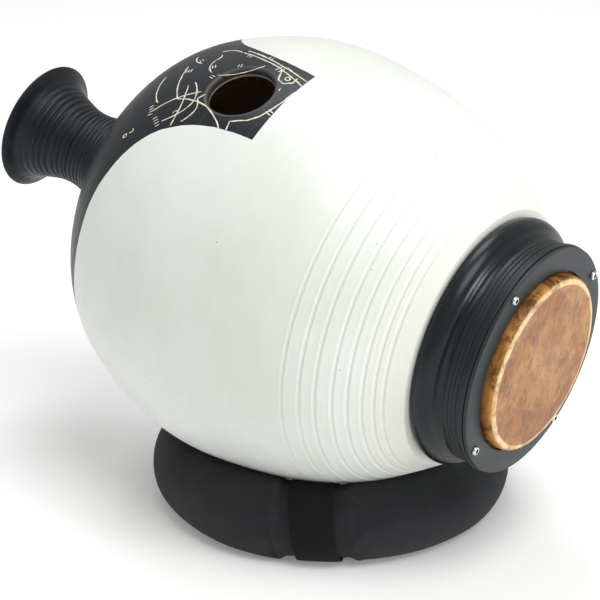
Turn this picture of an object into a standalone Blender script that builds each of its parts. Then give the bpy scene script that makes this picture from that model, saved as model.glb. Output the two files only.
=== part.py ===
"""Ceramic hand drum with a screwed skin head, lying in a ring cushion.

World frame: +Z up, the floor is z = 0, and +X runs from the neck to the head.
Drum frame: its origin is on the drum's axis at the belly's widest place, local +Z runs
along the axis to the head, and local +X is the upper side of the drum.
"""
from math import asin, cos, pi, radians, sin

import bmesh
import bpy
import numpy as np
from mathutils import Matrix, Vector

MM = 0.001

# Placement
BELLY_R = 170.0 * MM            # largest radius of the belly
DRUM_X = 16.14 * MM             # centres the whole object over the world origin
DRUM_Z = 199.8 * MM             # height of the drum frame's origin
HEAD_DOWN = radians(7.9)        # the head end lies lower than the neck end

# Belly: radii at stations along the axis, as parts of BELLY_R
BELLY_STATIONS = (-0.95, -0.75, -0.45, -0.10, 0.25, 0.55, 0.80, 0.98)
BELLY_RADII = (0.392, 0.696, 0.905, 1.000, 0.983, 0.916, 0.798, 0.671)
NECK_MOUTH_Z = -1.03 * BELLY_R
SHOULDER_Z = 180.2 * MM
SHOULDER_LEDGE = 1.4 * MM       # from the end of the belly's curve to the face under the collar
SHOULDER_CHAMFER = 1.8 * MM
INNER_START = 0.55              # where the inside of the belly begins, as an angle of its spread
BELLY_WALL = 8.6 * MM
MOUTH_WALL = 7.5 * MM           # at the neck mouth
SPIGOT_R = 84.0 * MM
SPIGOT_BORE_R = 76.0 * MM
SPIGOT_END_Z = 201.6 * MM
GAP = 0.3 * MM                  # between touching pieces
CUT_MARGIN = 2.0 * MM           # how far a cutter passes the face it cuts

# Sound hole
HOLE_Z = -0.09 * BELLY_R
HOLE_ANGLE = radians(24.6)
HOLE_R = 25.5 * MM
HOLE_CUT_FROM = 0.80 * BELLY_R  # distances from the drum's axis
HOLE_CUT_TO = 1.10 * BELLY_R

# Neck, along its own slightly bent axis
NECK_START = -0.088 * BELLY_R
NECK_BEND_END = 0.06 * BELLY_R
NECK_LENGTH = 0.457 * BELLY_R
NECK_LINE_Z = -1.12 * BELLY_R
NECK_LINE_UP = 0.062 * BELLY_R
NECK_LINE_SIDE = -0.008 * BELLY_R
NECK_UP = radians(5.2)
NECK_SIDE = radians(2.0)
NECK_WALL = 6.8 * MM
NECK_OUTLINE = (                # station, outer radius, as parts of BELLY_R
    (-0.088, 0.262), (-0.03, 0.240), (0.02, 0.218), (0.07, 0.200), (0.12, 0.190), (0.17, 0.188),
    (0.22, 0.193), (0.27, 0.206), (0.32, 0.222), (0.36, 0.237), (0.39, 0.254), (0.412, 0.276),
    (0.426, 0.302), (0.440, 0.316), (0.450, 0.313),
)

# Head
BASE_REAR_Z = 205.2 * MM
BASE_FRONT_Z = 219.5 * MM
BASE_R = 88.7 * MM
BASE_BORE_R = 60.0 * MM
CHANNEL_OUTER_R = 78.5 * MM
CHANNEL_INNER_R = 69.8 * MM
CHANNEL_FLOOR_Z = 214.5 * MM
SPACER_FRONT_Z = 223.4 * MM
SPACER_R = 90.4 * MM
CLAMP_REAR_Z = 223.7 * MM
CLAMP_FRONT_Z = 226.8 * MM
CLAMP_R = 89.6 * MM
CLAMP_BORE_R = 71.4 * MM
CLAMP_BEVEL = 0.5 * MM
BEARING_R = 68.0 * MM
BEARING_BORE_R = 62.0 * MM
BEARING_SLOPE = 1.5 * MM        # fall of its top from the rim to the bore
SKIN_TOP_Z = 235.5 * MM
SKIN_THICK = 1.0 * MM
SKIN_EDGE_ROUND = 4.5 * MM
FLESH_HEIGHT = 4.0 * MM

# Collar moulding: a half-round bead and a cove in front of it
BEAD_Z = 189.0 * MM
BEAD_R = 98.7 * MM
BEAD_ROUND = 11.5 * MM
COVE_R = 87.2 * MM
COVE_FLARE = 2.0 * MM
COVE_REAR_Z = 202.3 * MM
COVE_FRONT_Z = 203.2 * MM
SEAL_INNER_R = 76.5 * MM
SEAL_OUTER_R = 83.5 * MM

# Clamp screws
SCREW_COUNT = 4
SCREW_FIRST = radians(35.2)
SCREW_CIRCLE_R = 83.8 * MM
SCREW_HEAD_R = 3.5 * MM
SCREW_HEAD_HEIGHT = 2.2 * MM
SCREW_SHANK_R = 2.0 * MM
SCREW_LENGTH = 18.0 * MM
SOCKET_R = 1.45 * MM
SOCKET_DEPTH = 1.3 * MM
SCREW_HOLE_R = 2.4 * MM
INSERT_R = 2.8 * MM
INSERT_BORE_R = 2.3 * MM
INSERT_LENGTH = 8.0 * MM
POCKET_R = 3.2 * MM
POCKET_FLOOR_Z = 206.8 * MM

# Ring cushion
RING_X = DRUM_X + 0.195 * BELLY_R
RING_Y = 0.045 * BELLY_R
RING_Z = 27.1 * MM
RING_R = 108.1 * MM
TUBE_HALF_WIDTH = 34.0 * MM
TUBE_HALF_HEIGHT = 29.0 * MM
TUBE_EXPONENT = 0.9             # below 1 the tube's section is a little squarer than an ellipse
SEAT_GAP = 1.0 * MM
COVER_THICK = 2.5 * MM
CORE_DEPTH = 5.0 * MM
STRAP_ANGLE = radians(-59.0)
STRAP_WIDTH = 34.0 * MM
STRAP_THICK = 2.2 * MM
STRAP_CLEARANCE = 0.9 * MM
STRAP_LEAN = 4.0 * MM           # the strap is shifted by this at the tube's top, and back below
STRAP_MARGIN = 11.0 * MM
STRAP_FADE = 14.0 * MM
END_GAP = 1.0 * MM

TURN_SEGMENTS = 40
NECK_SEGMENTS = 32
TUBE_SEGMENTS = 14
CORE_SEGMENTS = 10
COVER_STATIONS = 38
CORE_STATIONS = 22


def remove_everything():
    for thing in list(bpy.data.objects):
        bpy.data.objects.remove(thing, do_unlink=True)


def make_material(name, colour, roughness, metallic=0.0):
    material = bpy.data.materials.new(name)
    material.use_nodes = True
    shader = material.node_tree.nodes["Principled BSDF"]
    shader.inputs["Base Color"].default_value = (*colour, 1.0)
    shader.inputs["Roughness"].default_value = roughness
    shader.inputs["Metallic"].default_value = metallic
    return material


def add_object(name, bm, material, parent=None, location=(0.0, 0.0, 0.0)):
    """Turns a bmesh into a named, smooth-shaded object."""
    bmesh.ops.recalc_face_normals(bm, faces=bm.faces)
    mesh = bpy.data.meshes.new(name)
    bm.to_mesh(mesh)
    bm.free()
    mesh.materials.append(material)
    mesh.shade_smooth()
    mesh.set_sharp_from_angle(angle=radians(35.0))
    thing = bpy.data.objects.new(name, mesh)
    bpy.context.collection.objects.link(thing)
    thing.parent = parent
    thing.location = location
    return thing


def drum_frame():
    """The empty that every piece of the drum is placed from."""
    frame = bpy.data.objects.new("drum_frame", None)
    bpy.context.collection.objects.link(frame)
    upper_side = Vector((sin(HEAD_DOWN), 0.0, cos(HEAD_DOWN)))
    axis = Vector((cos(HEAD_DOWN), 0.0, -sin(HEAD_DOWN)))
    turn = Matrix((upper_side, axis.cross(upper_side), axis)).transposed()
    frame.matrix_world = Matrix.Translation((DRUM_X, 0.0, DRUM_Z)) @ turn.to_4x4()
    return frame


def belly_spline():
    """Second derivatives of the natural cubic spline through the belly's stations."""
    z = np.array(BELLY_STATIONS)
    r = np.array(BELLY_RADII)
    step = np.diff(z)
    count = len(z)
    system = np.eye(count)
    right = np.zeros(count)
    for i in range(1, count - 1):
        system[i, i - 1] = step[i - 1]
        system[i, i] = 2.0 * (step[i - 1] + step[i])
        system[i, i + 1] = step[i]
        right[i] = 6.0 * ((r[i + 1] - r[i]) / step[i] - (r[i] - r[i - 1]) / step[i - 1])
    return np.linalg.solve(system, right)


BELLY_CURVATURE = belly_spline()


def belly_radius(z):
    """Outer radius of the belly at height z of the drum frame; straight past the last stations."""
    x = z / BELLY_R
    last = len(BELLY_STATIONS) - 2
    i = min(max(int(np.searchsorted(BELLY_STATIONS, x)) - 1, 0), last)
    low, high = BELLY_STATIONS[i], BELLY_STATIONS[i + 1]
    step = high - low
    inside = min(max(x, low), high)
    a = (high - inside) / step
    b = (inside - low) / step
    bend_low, bend_high = BELLY_CURVATURE[i], BELLY_CURVATURE[i + 1]
    radius = a * BELLY_RADII[i] + b * BELLY_RADII[i + 1]
    radius += ((a ** 3 - a) * bend_low + (b ** 3 - b) * bend_high) * step * step / 6.0
    slope = (BELLY_RADII[i + 1] - BELLY_RADII[i]) / step
    slope += ((3 * b * b - 1) * bend_high - (3 * a * a - 1) * bend_low) * step / 6.0
    return BELLY_R * (radius + slope * (x - inside))


def turned(outline, segments, closed=True):
    """Spins an outline of (radius, z) points around local Z."""
    bm = bmesh.new()
    points = [bm.verts.new((radius, 0.0, z)) for radius, z in outline]
    pairs = list(zip(points, points[1:]))
    if closed:
        pairs.append((points[-1], points[0]))
    edges = [bm.edges.new(pair) for pair in pairs]
    bmesh.ops.spin(
        bm, geom=points + edges, cent=(0.0, 0.0, 0.0), axis=(0.0, 0.0, 1.0),
        angle=2.0 * pi, steps=segments, use_merge=True,
    )
    bmesh.ops.remove_doubles(bm, verts=bm.verts, dist=0.01 * MM)
    return bm


def arc(centre_r, centre_z, radius, start, end, steps):
    """Points (radius, z) on an arc; angle 0 points outwards and 90 degrees towards the head."""
    angles = np.linspace(radians(start), radians(end), steps + 1)
    return [(centre_r + radius * cos(t), centre_z + radius * sin(t)) for t in angles]


def add_cutter(name, bm, parent, location=(0.0, 0.0, 0.0)):
    cutter = add_object(name, bm, MATERIALS["brass"], parent, location)
    cutter.hide_render = True
    cutter.display_type = "WIRE"
    return cutter


def cylinder(bm, radius, low, high, centre=(0.0, 0.0), segments=16):
    place = Matrix.Translation((centre[0], centre[1], 0.5 * (low + high)))
    bmesh.ops.create_cone(
        bm, cap_ends=True, segments=segments, radius1=radius, radius2=radius,
        depth=high - low, matrix=place,
    )


def cut(thing, cutter):
    modifier = thing.modifiers.new(cutter.name, "BOOLEAN")
    modifier.operation = "DIFFERENCE"
    modifier.object = cutter


def screw_places():
    for i in range(SCREW_COUNT):
        angle = SCREW_FIRST + i * 2.0 * pi / SCREW_COUNT
        yield i + 1, SCREW_CIRCLE_R * cos(angle), SCREW_CIRCLE_R * sin(angle)


def build_vessel(frame):
    """The hollow belly, its neck mouth, its spigot under the collar, and the sound hole."""
    spread = np.linspace(0.0, pi, 19)
    stations = [NECK_MOUTH_Z + (SHOULDER_Z - NECK_MOUTH_Z) * 0.5 * (1.0 - cos(t)) for t in spread]
    outline = [(belly_radius(z), z) for z in stations]
    shoulder_face = SHOULDER_Z + SHOULDER_LEDGE
    outline += [(outline[-1][0] - SHOULDER_CHAMFER, shoulder_face), (SPIGOT_R, shoulder_face)]
    outline += [(SPIGOT_R, SPIGOT_END_Z), (SPIGOT_BORE_R, SPIGOT_END_Z), (SPIGOT_BORE_R, SHOULDER_Z)]
    inner = np.linspace(pi - INNER_START, 0.0, 13)
    for t in inner[:-1]:
        z = NECK_MOUTH_Z + (SHOULDER_Z - NECK_MOUTH_Z) * 0.5 * (1.0 - cos(t))
        outline.append((belly_radius(z) - BELLY_WALL, z))
    outline.append((belly_radius(NECK_MOUTH_Z) - MOUTH_WALL, NECK_MOUTH_Z))
    vessel = add_object("vessel_body", turned(outline, TURN_SEGMENTS), MATERIALS["slip_white"], frame)
    hole = bmesh.new()
    cylinder(hole, HOLE_R, HOLE_CUT_FROM, HOLE_CUT_TO, segments=32)
    bmesh.ops.rotate(hole, verts=hole.verts, matrix=Matrix.Rotation(pi / 2.0, 3, "Y"))
    bmesh.ops.rotate(hole, verts=hole.verts, matrix=Matrix.Rotation(HOLE_ANGLE, 3, "Z"))
    cut(vessel, add_cutter("sound_hole_cutter", hole, frame, (0.0, 0.0, HOLE_Z)))


def neck_ring(station):
    """Centre and directions of one cross-section of the neck, which bends away from the drum's axis."""
    mix = (station - NECK_START) / (NECK_BEND_END - NECK_START)
    mix = min(max(mix, 0.0), 1.0)
    mix = mix * mix * (3.0 - 2.0 * mix)
    along = Vector((sin(NECK_UP), sin(NECK_SIDE), -cos(NECK_UP) * cos(NECK_SIDE))).normalized()
    on_line = Vector((NECK_LINE_UP, NECK_LINE_SIDE, NECK_LINE_Z)) + along * station
    on_axis = Vector((0.0, 0.0, NECK_MOUTH_Z - GAP - (station - NECK_START)))
    centre = on_axis.lerp(on_line, mix)
    normal = Vector((0.0, 0.0, -1.0)).lerp(along, mix).normalized()
    across = (Vector((1.0, 0.0, 0.0)) - normal * normal.x).normalized()
    return centre, across, normal.cross(across)


def build_neck(frame):
    outer = [(station * BELLY_R, radius * BELLY_R) for station, radius in NECK_OUTLINE]
    lip = (NECK_LENGTH, 0.300 * BELLY_R)
    inner = [(station, radius - NECK_WALL) for station, radius in reversed(outer[:-2])]
    outline = outer + [lip] + inner
    bm = bmesh.new()
    rings = []
    for station, radius in outline:
        centre, across, up = neck_ring(station)
        ring = []
        for i in range(NECK_SEGMENTS):
            angle = 2.0 * pi * i / NECK_SEGMENTS
            ring.append(bm.verts.new(centre + radius * (across * cos(angle) + up * sin(angle))))
        rings.append(ring)
    for ring, following in zip(rings, rings[1:] + rings[:1]):
        for i in range(NECK_SEGMENTS):
            j = (i + 1) % NECK_SEGMENTS
            bm.faces.new((ring[i], ring[j], following[j], following[i]))
    add_object("neck", bm, MATERIALS["slip_black"], frame)


def build_collar(frame):
    rear = SHOULDER_Z + SHOULDER_LEDGE + GAP
    front = BASE_REAR_Z - GAP
    bead_centre = BEAD_R - BEAD_ROUND
    inner_r = SPIGOT_R + 2.0 * GAP
    reach = (BEAD_ROUND ** 2 - (BEAD_Z - rear) ** 2) ** 0.5
    outline = [(inner_r, rear), (bead_centre + reach, rear)]
    outline += arc(bead_centre, BEAD_Z, BEAD_ROUND, -15.0, 62.0, 4)
    outline += [(COVE_R + COVE_FLARE, COVE_REAR_Z), (COVE_R, COVE_FRONT_Z)]
    outline += [(COVE_R, front), (inner_r, front)]
    add_object("collar_ring", turned(outline, TURN_SEGMENTS), MATERIALS["lacquer_black"], frame)
    seal_rear = SPIGOT_END_Z + GAP
    seal = [
        (SEAL_INNER_R, seal_rear), (SEAL_OUTER_R, seal_rear),
        (SEAL_OUTER_R, front), (SEAL_INNER_R, front),
    ]
    add_object("mouth_seal", turned(seal, TURN_SEGMENTS), MATERIALS["rubber_black"], frame)


def build_hoops(frame):
    """Base hoop, spacer hoop and bearing ring, with the places for inserts and screws cut out."""
    base = [
        (BASE_BORE_R, BASE_REAR_Z), (BASE_R, BASE_REAR_Z), (BASE_R, BASE_FRONT_Z),
        (CHANNEL_OUTER_R, BASE_FRONT_Z), (CHANNEL_OUTER_R, CHANNEL_FLOOR_Z),
        (CHANNEL_INNER_R, CHANNEL_FLOOR_Z), (CHANNEL_INNER_R, BASE_FRONT_Z), (BASE_BORE_R, BASE_FRONT_Z),
    ]
    base_hoop = add_object("base_hoop", turned(base, TURN_SEGMENTS), MATERIALS["hoop_black"], frame)
    pockets = bmesh.new()
    holes = bmesh.new()
    for _, x, y in screw_places():
        cylinder(pockets, POCKET_R, POCKET_FLOOR_Z, BASE_FRONT_Z + CUT_MARGIN, (x, y))
        cylinder(holes, SCREW_HOLE_R, BASE_FRONT_Z - CUT_MARGIN, CLAMP_FRONT_Z + CUT_MARGIN, (x, y))
    cut(base_hoop, add_cutter("insert_pocket_cutter", pockets, frame))
    holes_cutter = add_cutter("screw_hole_cutter", holes, frame)
    rear = BASE_FRONT_Z + GAP
    spacer = [
        (CHANNEL_OUTER_R, rear), (SPACER_R, rear),
        (SPACER_R, SPACER_FRONT_Z), (CHANNEL_OUTER_R, SPACER_FRONT_Z),
    ]
    spacer_hoop = add_object("spacer_hoop", turned(spacer, TURN_SEGMENTS), MATERIALS["hoop_black"], frame)
    cut(spacer_hoop, holes_cutter)
    top = SKIN_TOP_Z - SKIN_THICK - GAP
    edge = SKIN_EDGE_ROUND - SKIN_THICK - GAP
    bearing = [(BEARING_BORE_R, rear), (BEARING_R, rear)]
    bearing += arc(BEARING_R - edge, top - edge, edge, 0.0, 90.0, 3)
    bearing += [(BEARING_BORE_R, top - BEARING_SLOPE)]
    add_object("bearing_ring", turned(bearing, TURN_SEGMENTS), MATERIALS["beech"], frame)
    return holes_cutter


def build_skin(frame):
    """The skin: flat top, rounded edge, skirt, and the turned-out edge over the flesh hoop."""
    inner_r = BEARING_R + GAP
    outer_r = inner_r + SKIN_THICK
    flange_r = CHANNEL_OUTER_R - 2.0 * GAP
    flange_top = CLAMP_REAR_Z - GAP
    flange_low = flange_top - SKIN_THICK
    low_top = SKIN_TOP_Z - SKIN_THICK
    inner_round = SKIN_EDGE_ROUND - SKIN_THICK
    outline = [(0.0, SKIN_TOP_Z), (0.5 * outer_r, SKIN_TOP_Z)]
    outline += arc(outer_r - SKIN_EDGE_ROUND, SKIN_TOP_Z - SKIN_EDGE_ROUND, SKIN_EDGE_ROUND, 90.0, 0.0, 3)
    outline += [(outer_r, flange_top), (flange_r, flange_top)]
    outline += [(flange_r, flange_low), (inner_r, flange_low)]
    outline += arc(inner_r - inner_round, low_top - inner_round, inner_round, 0.0, 90.0, 3)
    outline += [(0.5 * inner_r, low_top), (0.0, low_top)]
    skin = turned(outline, TURN_SEGMENTS, closed=False)
    add_object("skin_head", skin, MATERIALS["goat_skin"], frame)
    hoop_top = flange_low - GAP
    hoop_inner = CHANNEL_INNER_R + GAP
    hoop_outer = CHANNEL_OUTER_R - 2.0 * GAP
    hoop = [
        (hoop_inner, hoop_top - FLESH_HEIGHT), (hoop_outer, hoop_top - FLESH_HEIGHT),
        (hoop_outer, hoop_top), (hoop_inner, hoop_top),
    ]
    add_object("flesh_hoop", turned(hoop, TURN_SEGMENTS), MATERIALS["beech"], frame)


def build_clamp(frame, holes_cutter):
    thick = CLAMP_FRONT_Z - CLAMP_REAR_Z
    outline = [
        (CLAMP_BORE_R, 0.0), (CLAMP_R, 0.0), (CLAMP_R, thick - CLAMP_BEVEL), (CLAMP_R - CLAMP_BEVEL, thick),
        (CLAMP_BORE_R + CLAMP_BEVEL, thick), (CLAMP_BORE_R, thick - CLAMP_BEVEL),
    ]
    place = (0.0, 0.0, CLAMP_REAR_Z)
    clamp = add_object("clamp_ring", turned(outline, TURN_SEGMENTS), MATERIALS["clamp_black"], frame, place)
    cut(clamp, holes_cutter)


def screw_mesh():
    """Button head with a hex socket on a plain shank; z = 0 is the underside of the head."""
    sides = 12
    side_height = 0.4 * SCREW_HEAD_HEIGHT
    crown_r = 0.62 * SCREW_HEAD_R
    outline = [
        (SCREW_SHANK_R, -SCREW_LENGTH), (SCREW_SHANK_R, 0.0), (SCREW_HEAD_R, 0.0),
        (SCREW_HEAD_R, side_height), (crown_r, SCREW_HEAD_HEIGHT),
    ]
    bm = bmesh.new()
    rings = []
    for radius, z in outline:
        angles = [2.0 * pi * i / sides for i in range(sides)]
        rings.append([bm.verts.new((radius * cos(t), radius * sin(t), z)) for t in angles])
    for ring, following in zip(rings, rings[1:]):
        for i in range(sides):
            j = (i + 1) % sides
            bm.faces.new((ring[i], ring[j], following[j], following[i]))
    bm.faces.new(list(reversed(rings[0])))
    rim = rings[-1]
    corners = [2.0 * pi * i / 6 for i in range(6)]
    levels = (SCREW_HEAD_HEIGHT, SCREW_HEAD_HEIGHT - SOCKET_DEPTH)
    mouth, floor = [
        [bm.verts.new((SOCKET_R * cos(t), SOCKET_R * sin(t), z)) for t in corners] for z in levels
    ]
    for i in range(6):
        j = (i + 1) % 6
        bm.faces.new((mouth[j], mouth[i], rim[2 * i], rim[2 * i + 1], rim[(2 * i + 2) % sides]))
        bm.faces.new((mouth[i], mouth[j], floor[j], floor[i]))
    bm.faces.new(floor)
    return bm


def build_screws(frame):
    insert_outline = [
        (INSERT_BORE_R, 0.0), (INSERT_R, 0.0), (INSERT_R, INSERT_LENGTH), (INSERT_BORE_R, INSERT_LENGTH),
    ]
    insert_z = BASE_FRONT_Z - GAP - INSERT_LENGTH
    for number, x, y in screw_places():
        head_z = CLAMP_FRONT_Z + GAP
        add_object(f"clamp_screw_{number}", screw_mesh(), MATERIALS["steel"], frame, (x, y, head_z))
        insert = turned(insert_outline, 12)
        add_object(f"insert_{number}", insert, MATERIALS["brass"], frame, (x, y, insert_z))


def signed_power(value, exponent):
    return abs(value) ** exponent * (1.0 if value >= 0.0 else -1.0)


def strap_pinch(across):
    """How far the strap pulls the tube in, at a distance from the strap's middle line."""
    fade = (abs(across) - 0.5 * STRAP_WIDTH - STRAP_MARGIN) / STRAP_FADE
    fade = min(max(fade, 0.0), 1.0)
    return (STRAP_THICK + STRAP_CLEARANCE) * (1.0 - fade * fade * (3.0 - 2.0 * fade))


def tube_point(angle, around, depth, to_drum, from_drum):
    """A point of the cushion's tube, depth below its surface, pressed in where the belly sits."""
    out = (TUBE_HALF_WIDTH - depth) * signed_power(cos(around), TUBE_EXPONENT)
    up = (TUBE_HALF_HEIGHT - depth) * signed_power(sin(around), TUBE_EXPONENT)
    up = max(up, depth - RING_Z)
    radius = RING_R + out
    point = Vector((RING_X + radius * cos(angle), RING_Y + radius * sin(angle), RING_Z + up))
    local = to_drum @ point
    clear_r = belly_radius(local.z) + SEAT_GAP + depth
    reach = (local.x ** 2 + local.y ** 2) ** 0.5
    if reach < clear_r:
        local.x *= clear_r / reach
        local.y *= clear_r / reach
        point = from_drum @ local
    return point


def tube_angles(segments):
    return [2.0 * pi * i / segments for i in range(segments)]


def skin_rings(bm, rings, closed):
    """Joins cross-sections with quads; open sleeves are closed by their caller."""
    following = rings[1:] + (rings[:1] if closed else [])
    for ring, after in zip(rings, following):
        count = len(ring)
        for i in range(count):
            j = (i + 1) % count
            bm.faces.new((ring[i], ring[j], after[j], after[i]))


def tube_section(bm, angle, depth, segments, ends):
    """One cross-section of the tube; it is narrower under the strap."""
    turn = abs(angle - STRAP_ANGLE)
    turn = min(turn, 2.0 * pi - turn)
    section = []
    for around in tube_angles(segments):
        across = turn * (RING_R + TUBE_HALF_WIDTH * cos(around))
        point = tube_point(angle, around, depth + strap_pinch(across), *ends)
        section.append(bm.verts.new(point))
    return section


def ring_stations(count, end_gap):
    """Angles along the tube from one side of the strap's middle line round to the other."""
    margin = end_gap / RING_R
    return [STRAP_ANGLE + t for t in np.linspace(margin, 2.0 * pi - margin, count)]


def build_cushion(frame):
    to_drum = frame.matrix_world.inverted()
    ends = (to_drum, frame.matrix_world)
    cover = bmesh.new()
    stations = ring_stations(COVER_STATIONS, END_GAP)
    outer = [tube_section(cover, angle, 0.0, TUBE_SEGMENTS, ends) for angle in stations]
    inner = [tube_section(cover, angle, COVER_THICK, TUBE_SEGMENTS, ends) for angle in stations]
    skin_rings(cover, outer, closed=False)
    skin_rings(cover, inner, closed=False)
    for first, second in ((outer[0], inner[0]), (outer[-1], inner[-1])):
        skin_rings(cover, [first, second], closed=False)
    add_object("cushion_cover", cover, MATERIALS["cover_fabric"])
    core = bmesh.new()
    core_stations = ring_stations(CORE_STATIONS, 3.0 * END_GAP)
    rings = [tube_section(core, angle, CORE_DEPTH, CORE_SEGMENTS, ends) for angle in core_stations]
    skin_rings(core, rings, closed=False)
    core.faces.new(rings[0])
    core.faces.new(rings[-1])
    bmesh.ops.triangulate(core, faces=[face for face in core.faces if len(face.verts) > 4])
    add_object("cushion_core", core, MATERIALS["foam"])
    build_strap(ends)


def build_strap(ends):
    """A band of constant width around the tube, over the joint of the cover's ends."""
    bm = bmesh.new()
    loops = []
    half = 0.5 * STRAP_WIDTH
    for depth in (0.0, STRAP_THICK):
        for across in (-half, 0.0, half):
            loop = []
            for around in tube_angles(TUBE_SEGMENTS):
                radius = RING_R + TUBE_HALF_WIDTH * cos(around)
                angle = STRAP_ANGLE + asin((across - STRAP_LEAN * sin(around)) / radius)
                loop.append(bm.verts.new(tube_point(angle, around, depth, *ends)))
            loops.append(loop)
    order = loops[:3] + loops[:2:-1]
    skin_rings(bm, order, closed=True)
    add_object("closure_strap", bm, MATERIALS["strap_fabric"])


remove_everything()
MATERIALS = {
    "slip_white": make_material("slip_white", (0.78, 0.79, 0.74), 0.42),
    "slip_black": make_material("slip_black", (0.035, 0.040, 0.045), 0.45),
    "lacquer_black": make_material("lacquer_black", (0.03, 0.03, 0.035), 0.35),
    "hoop_black": make_material("hoop_black", (0.035, 0.035, 0.04), 0.55),
    "clamp_black": make_material("clamp_black", (0.12, 0.15, 0.16), 0.55),
    "goat_skin": make_material("goat_skin", (0.62, 0.36, 0.17), 0.55),
    "beech": make_material("beech", (0.55, 0.38, 0.22), 0.6),
    "rubber_black": make_material("rubber_black", (0.02, 0.02, 0.02), 0.8),
    "steel": make_material("steel", (0.75, 0.75, 0.74), 0.3, 1.0),
    "brass": make_material("brass", (0.72, 0.55, 0.25), 0.35, 1.0),
    "cover_fabric": make_material("cover_fabric", (0.045, 0.045, 0.05), 0.9),
    "foam": make_material("foam", (0.25, 0.25, 0.26), 0.95),
    "strap_fabric": make_material("strap_fabric", (0.015, 0.015, 0.017), 0.95),
}
drum = drum_frame()
bpy.context.view_layer.update()
build_vessel(drum)
build_neck(drum)
build_collar(drum)
screw_cutter = build_hoops(drum)
build_skin(drum)
build_clamp(drum, screw_cutter)
build_screws(drum)
build_cushion(drum)
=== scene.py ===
"""Finished looks of the ceramic hand drum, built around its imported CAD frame.

Every piece of the drum is modelled in the drum frame: local +Z runs along the drum's axis to
the head, local +X is its upper side, and angles run from +X towards +Y.
"""

from math import atan2, ceil, cos, hypot, pi, radians, sin

import bmesh
import bpy
import numpy as np
from mathutils import Matrix, Vector


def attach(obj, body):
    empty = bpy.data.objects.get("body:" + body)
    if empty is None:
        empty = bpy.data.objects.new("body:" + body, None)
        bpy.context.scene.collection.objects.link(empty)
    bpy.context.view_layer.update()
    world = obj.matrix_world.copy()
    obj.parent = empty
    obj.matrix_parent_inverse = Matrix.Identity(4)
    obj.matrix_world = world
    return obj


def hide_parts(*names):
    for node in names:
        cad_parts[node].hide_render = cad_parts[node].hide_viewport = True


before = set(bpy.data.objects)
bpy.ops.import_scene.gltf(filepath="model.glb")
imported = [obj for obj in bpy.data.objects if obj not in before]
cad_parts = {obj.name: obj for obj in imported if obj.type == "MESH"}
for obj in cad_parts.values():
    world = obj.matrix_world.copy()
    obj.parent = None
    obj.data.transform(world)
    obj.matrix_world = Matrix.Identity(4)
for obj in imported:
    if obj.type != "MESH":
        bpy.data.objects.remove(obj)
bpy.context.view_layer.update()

MM = 0.001

# The drum frame, as in the CAD
BELLY_R = 170.0 * MM
DRUM_X = 16.14 * MM
DRUM_Z = 199.8 * MM
HEAD_DOWN = radians(7.9)
DRUM = Matrix.Translation((DRUM_X, 0.0, DRUM_Z)) @ Matrix((
    (sin(HEAD_DOWN), 0.0, cos(HEAD_DOWN), 0.0),
    (0.0, -1.0, 0.0, 0.0),
    (cos(HEAD_DOWN), 0.0, -sin(HEAD_DOWN), 0.0),
    (0.0, 0.0, 0.0, 1.0),
))
WORLD = Matrix.Identity(4)

# Belly
BELLY_STATIONS = (-0.95, -0.75, -0.45, -0.10, 0.25, 0.55, 0.80, 0.98)
BELLY_RADII = (0.392, 0.696, 0.905, 1.000, 0.983, 0.916, 0.798, 0.671)
NECK_MOUTH_Z = -1.03 * BELLY_R
SHOULDER_Z = 180.2 * MM
SHOULDER_LEDGE = 1.4 * MM
BELLY_WALL = 8.6 * MM
MOUTH_WALL = 7.5 * MM
SPIGOT_R = 84.0 * MM
SPIGOT_BORE_R = 76.0 * MM
SPIGOT_END_Z = 201.6 * MM
GAP = 0.3 * MM
BELLY_COLUMNS = 256
BELLY_STEP = 2.5 * MM
GROOVE_ROWS = 3.0 * MM          # how far the finer rows reach on each side of a groove
INNER_STEP = 5.0 * MM
GROOVES = (0.628, 0.697, 0.757, 0.820, 0.873, 0.923, 0.964, 0.996)   # stations, as parts of BELLY_R
GROOVE_DEPTH = 1.0 * MM
GROOVE_WIDTH = 0.85 * MM
RIDGE_SHARE = 0.20              # height of the line beside a groove, as a part of the groove's depth
RIDGE_AWAY = 2.1                # in groove widths
RIDGE_WIDTH = 0.8
CAP_RINGS = (-0.975, -0.935, -0.885)
CAP_RING_DEPTH = 0.35 * MM

# Sound hole
HOLE_Z = -0.09 * BELLY_R
HOLE_ANGLE = radians(24.6)
HOLE_R = 25.5 * MM
HOLE_LIP = 3.0 * MM
HOLE_BLOCK = 35.0 * MM          # half side of the patch of surface that is woven round the hole

# Black slip: half-widths of the black area at stations along the axis, in degrees
PANEL_MIDDLE = radians(23.7)
PANEL_END = 0.135
PANEL_SPAN = (-0.75, 0.20)
PANEL_WIDEST = 210.0
PANEL_WANDER = 0.55             # how far the edge wavers, in degrees
PANEL_END_WANDER = 0.003        # and the straight end, as a part of that
PANEL_SHARPNESS = 8.0
PANEL_END_SHARPNESS = 500.0
PANEL_EDGE = (
    (-0.75, 210.0), (-0.687, 210.0), (-0.648, 98.0), (-0.615, 74.0), (-0.593, 57.0), (-0.570, 45.0),
    (-0.52, 35.2), (-0.45, 26.7), (-0.37, 21.2), (-0.27, 17.7), (-0.13, 14.9), (0.13, 13.2), (0.20, 12.9),
)

THIN = 0.95                     # widths of the drawing's thinner strokes, in mm
DASH = 0.9

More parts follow.
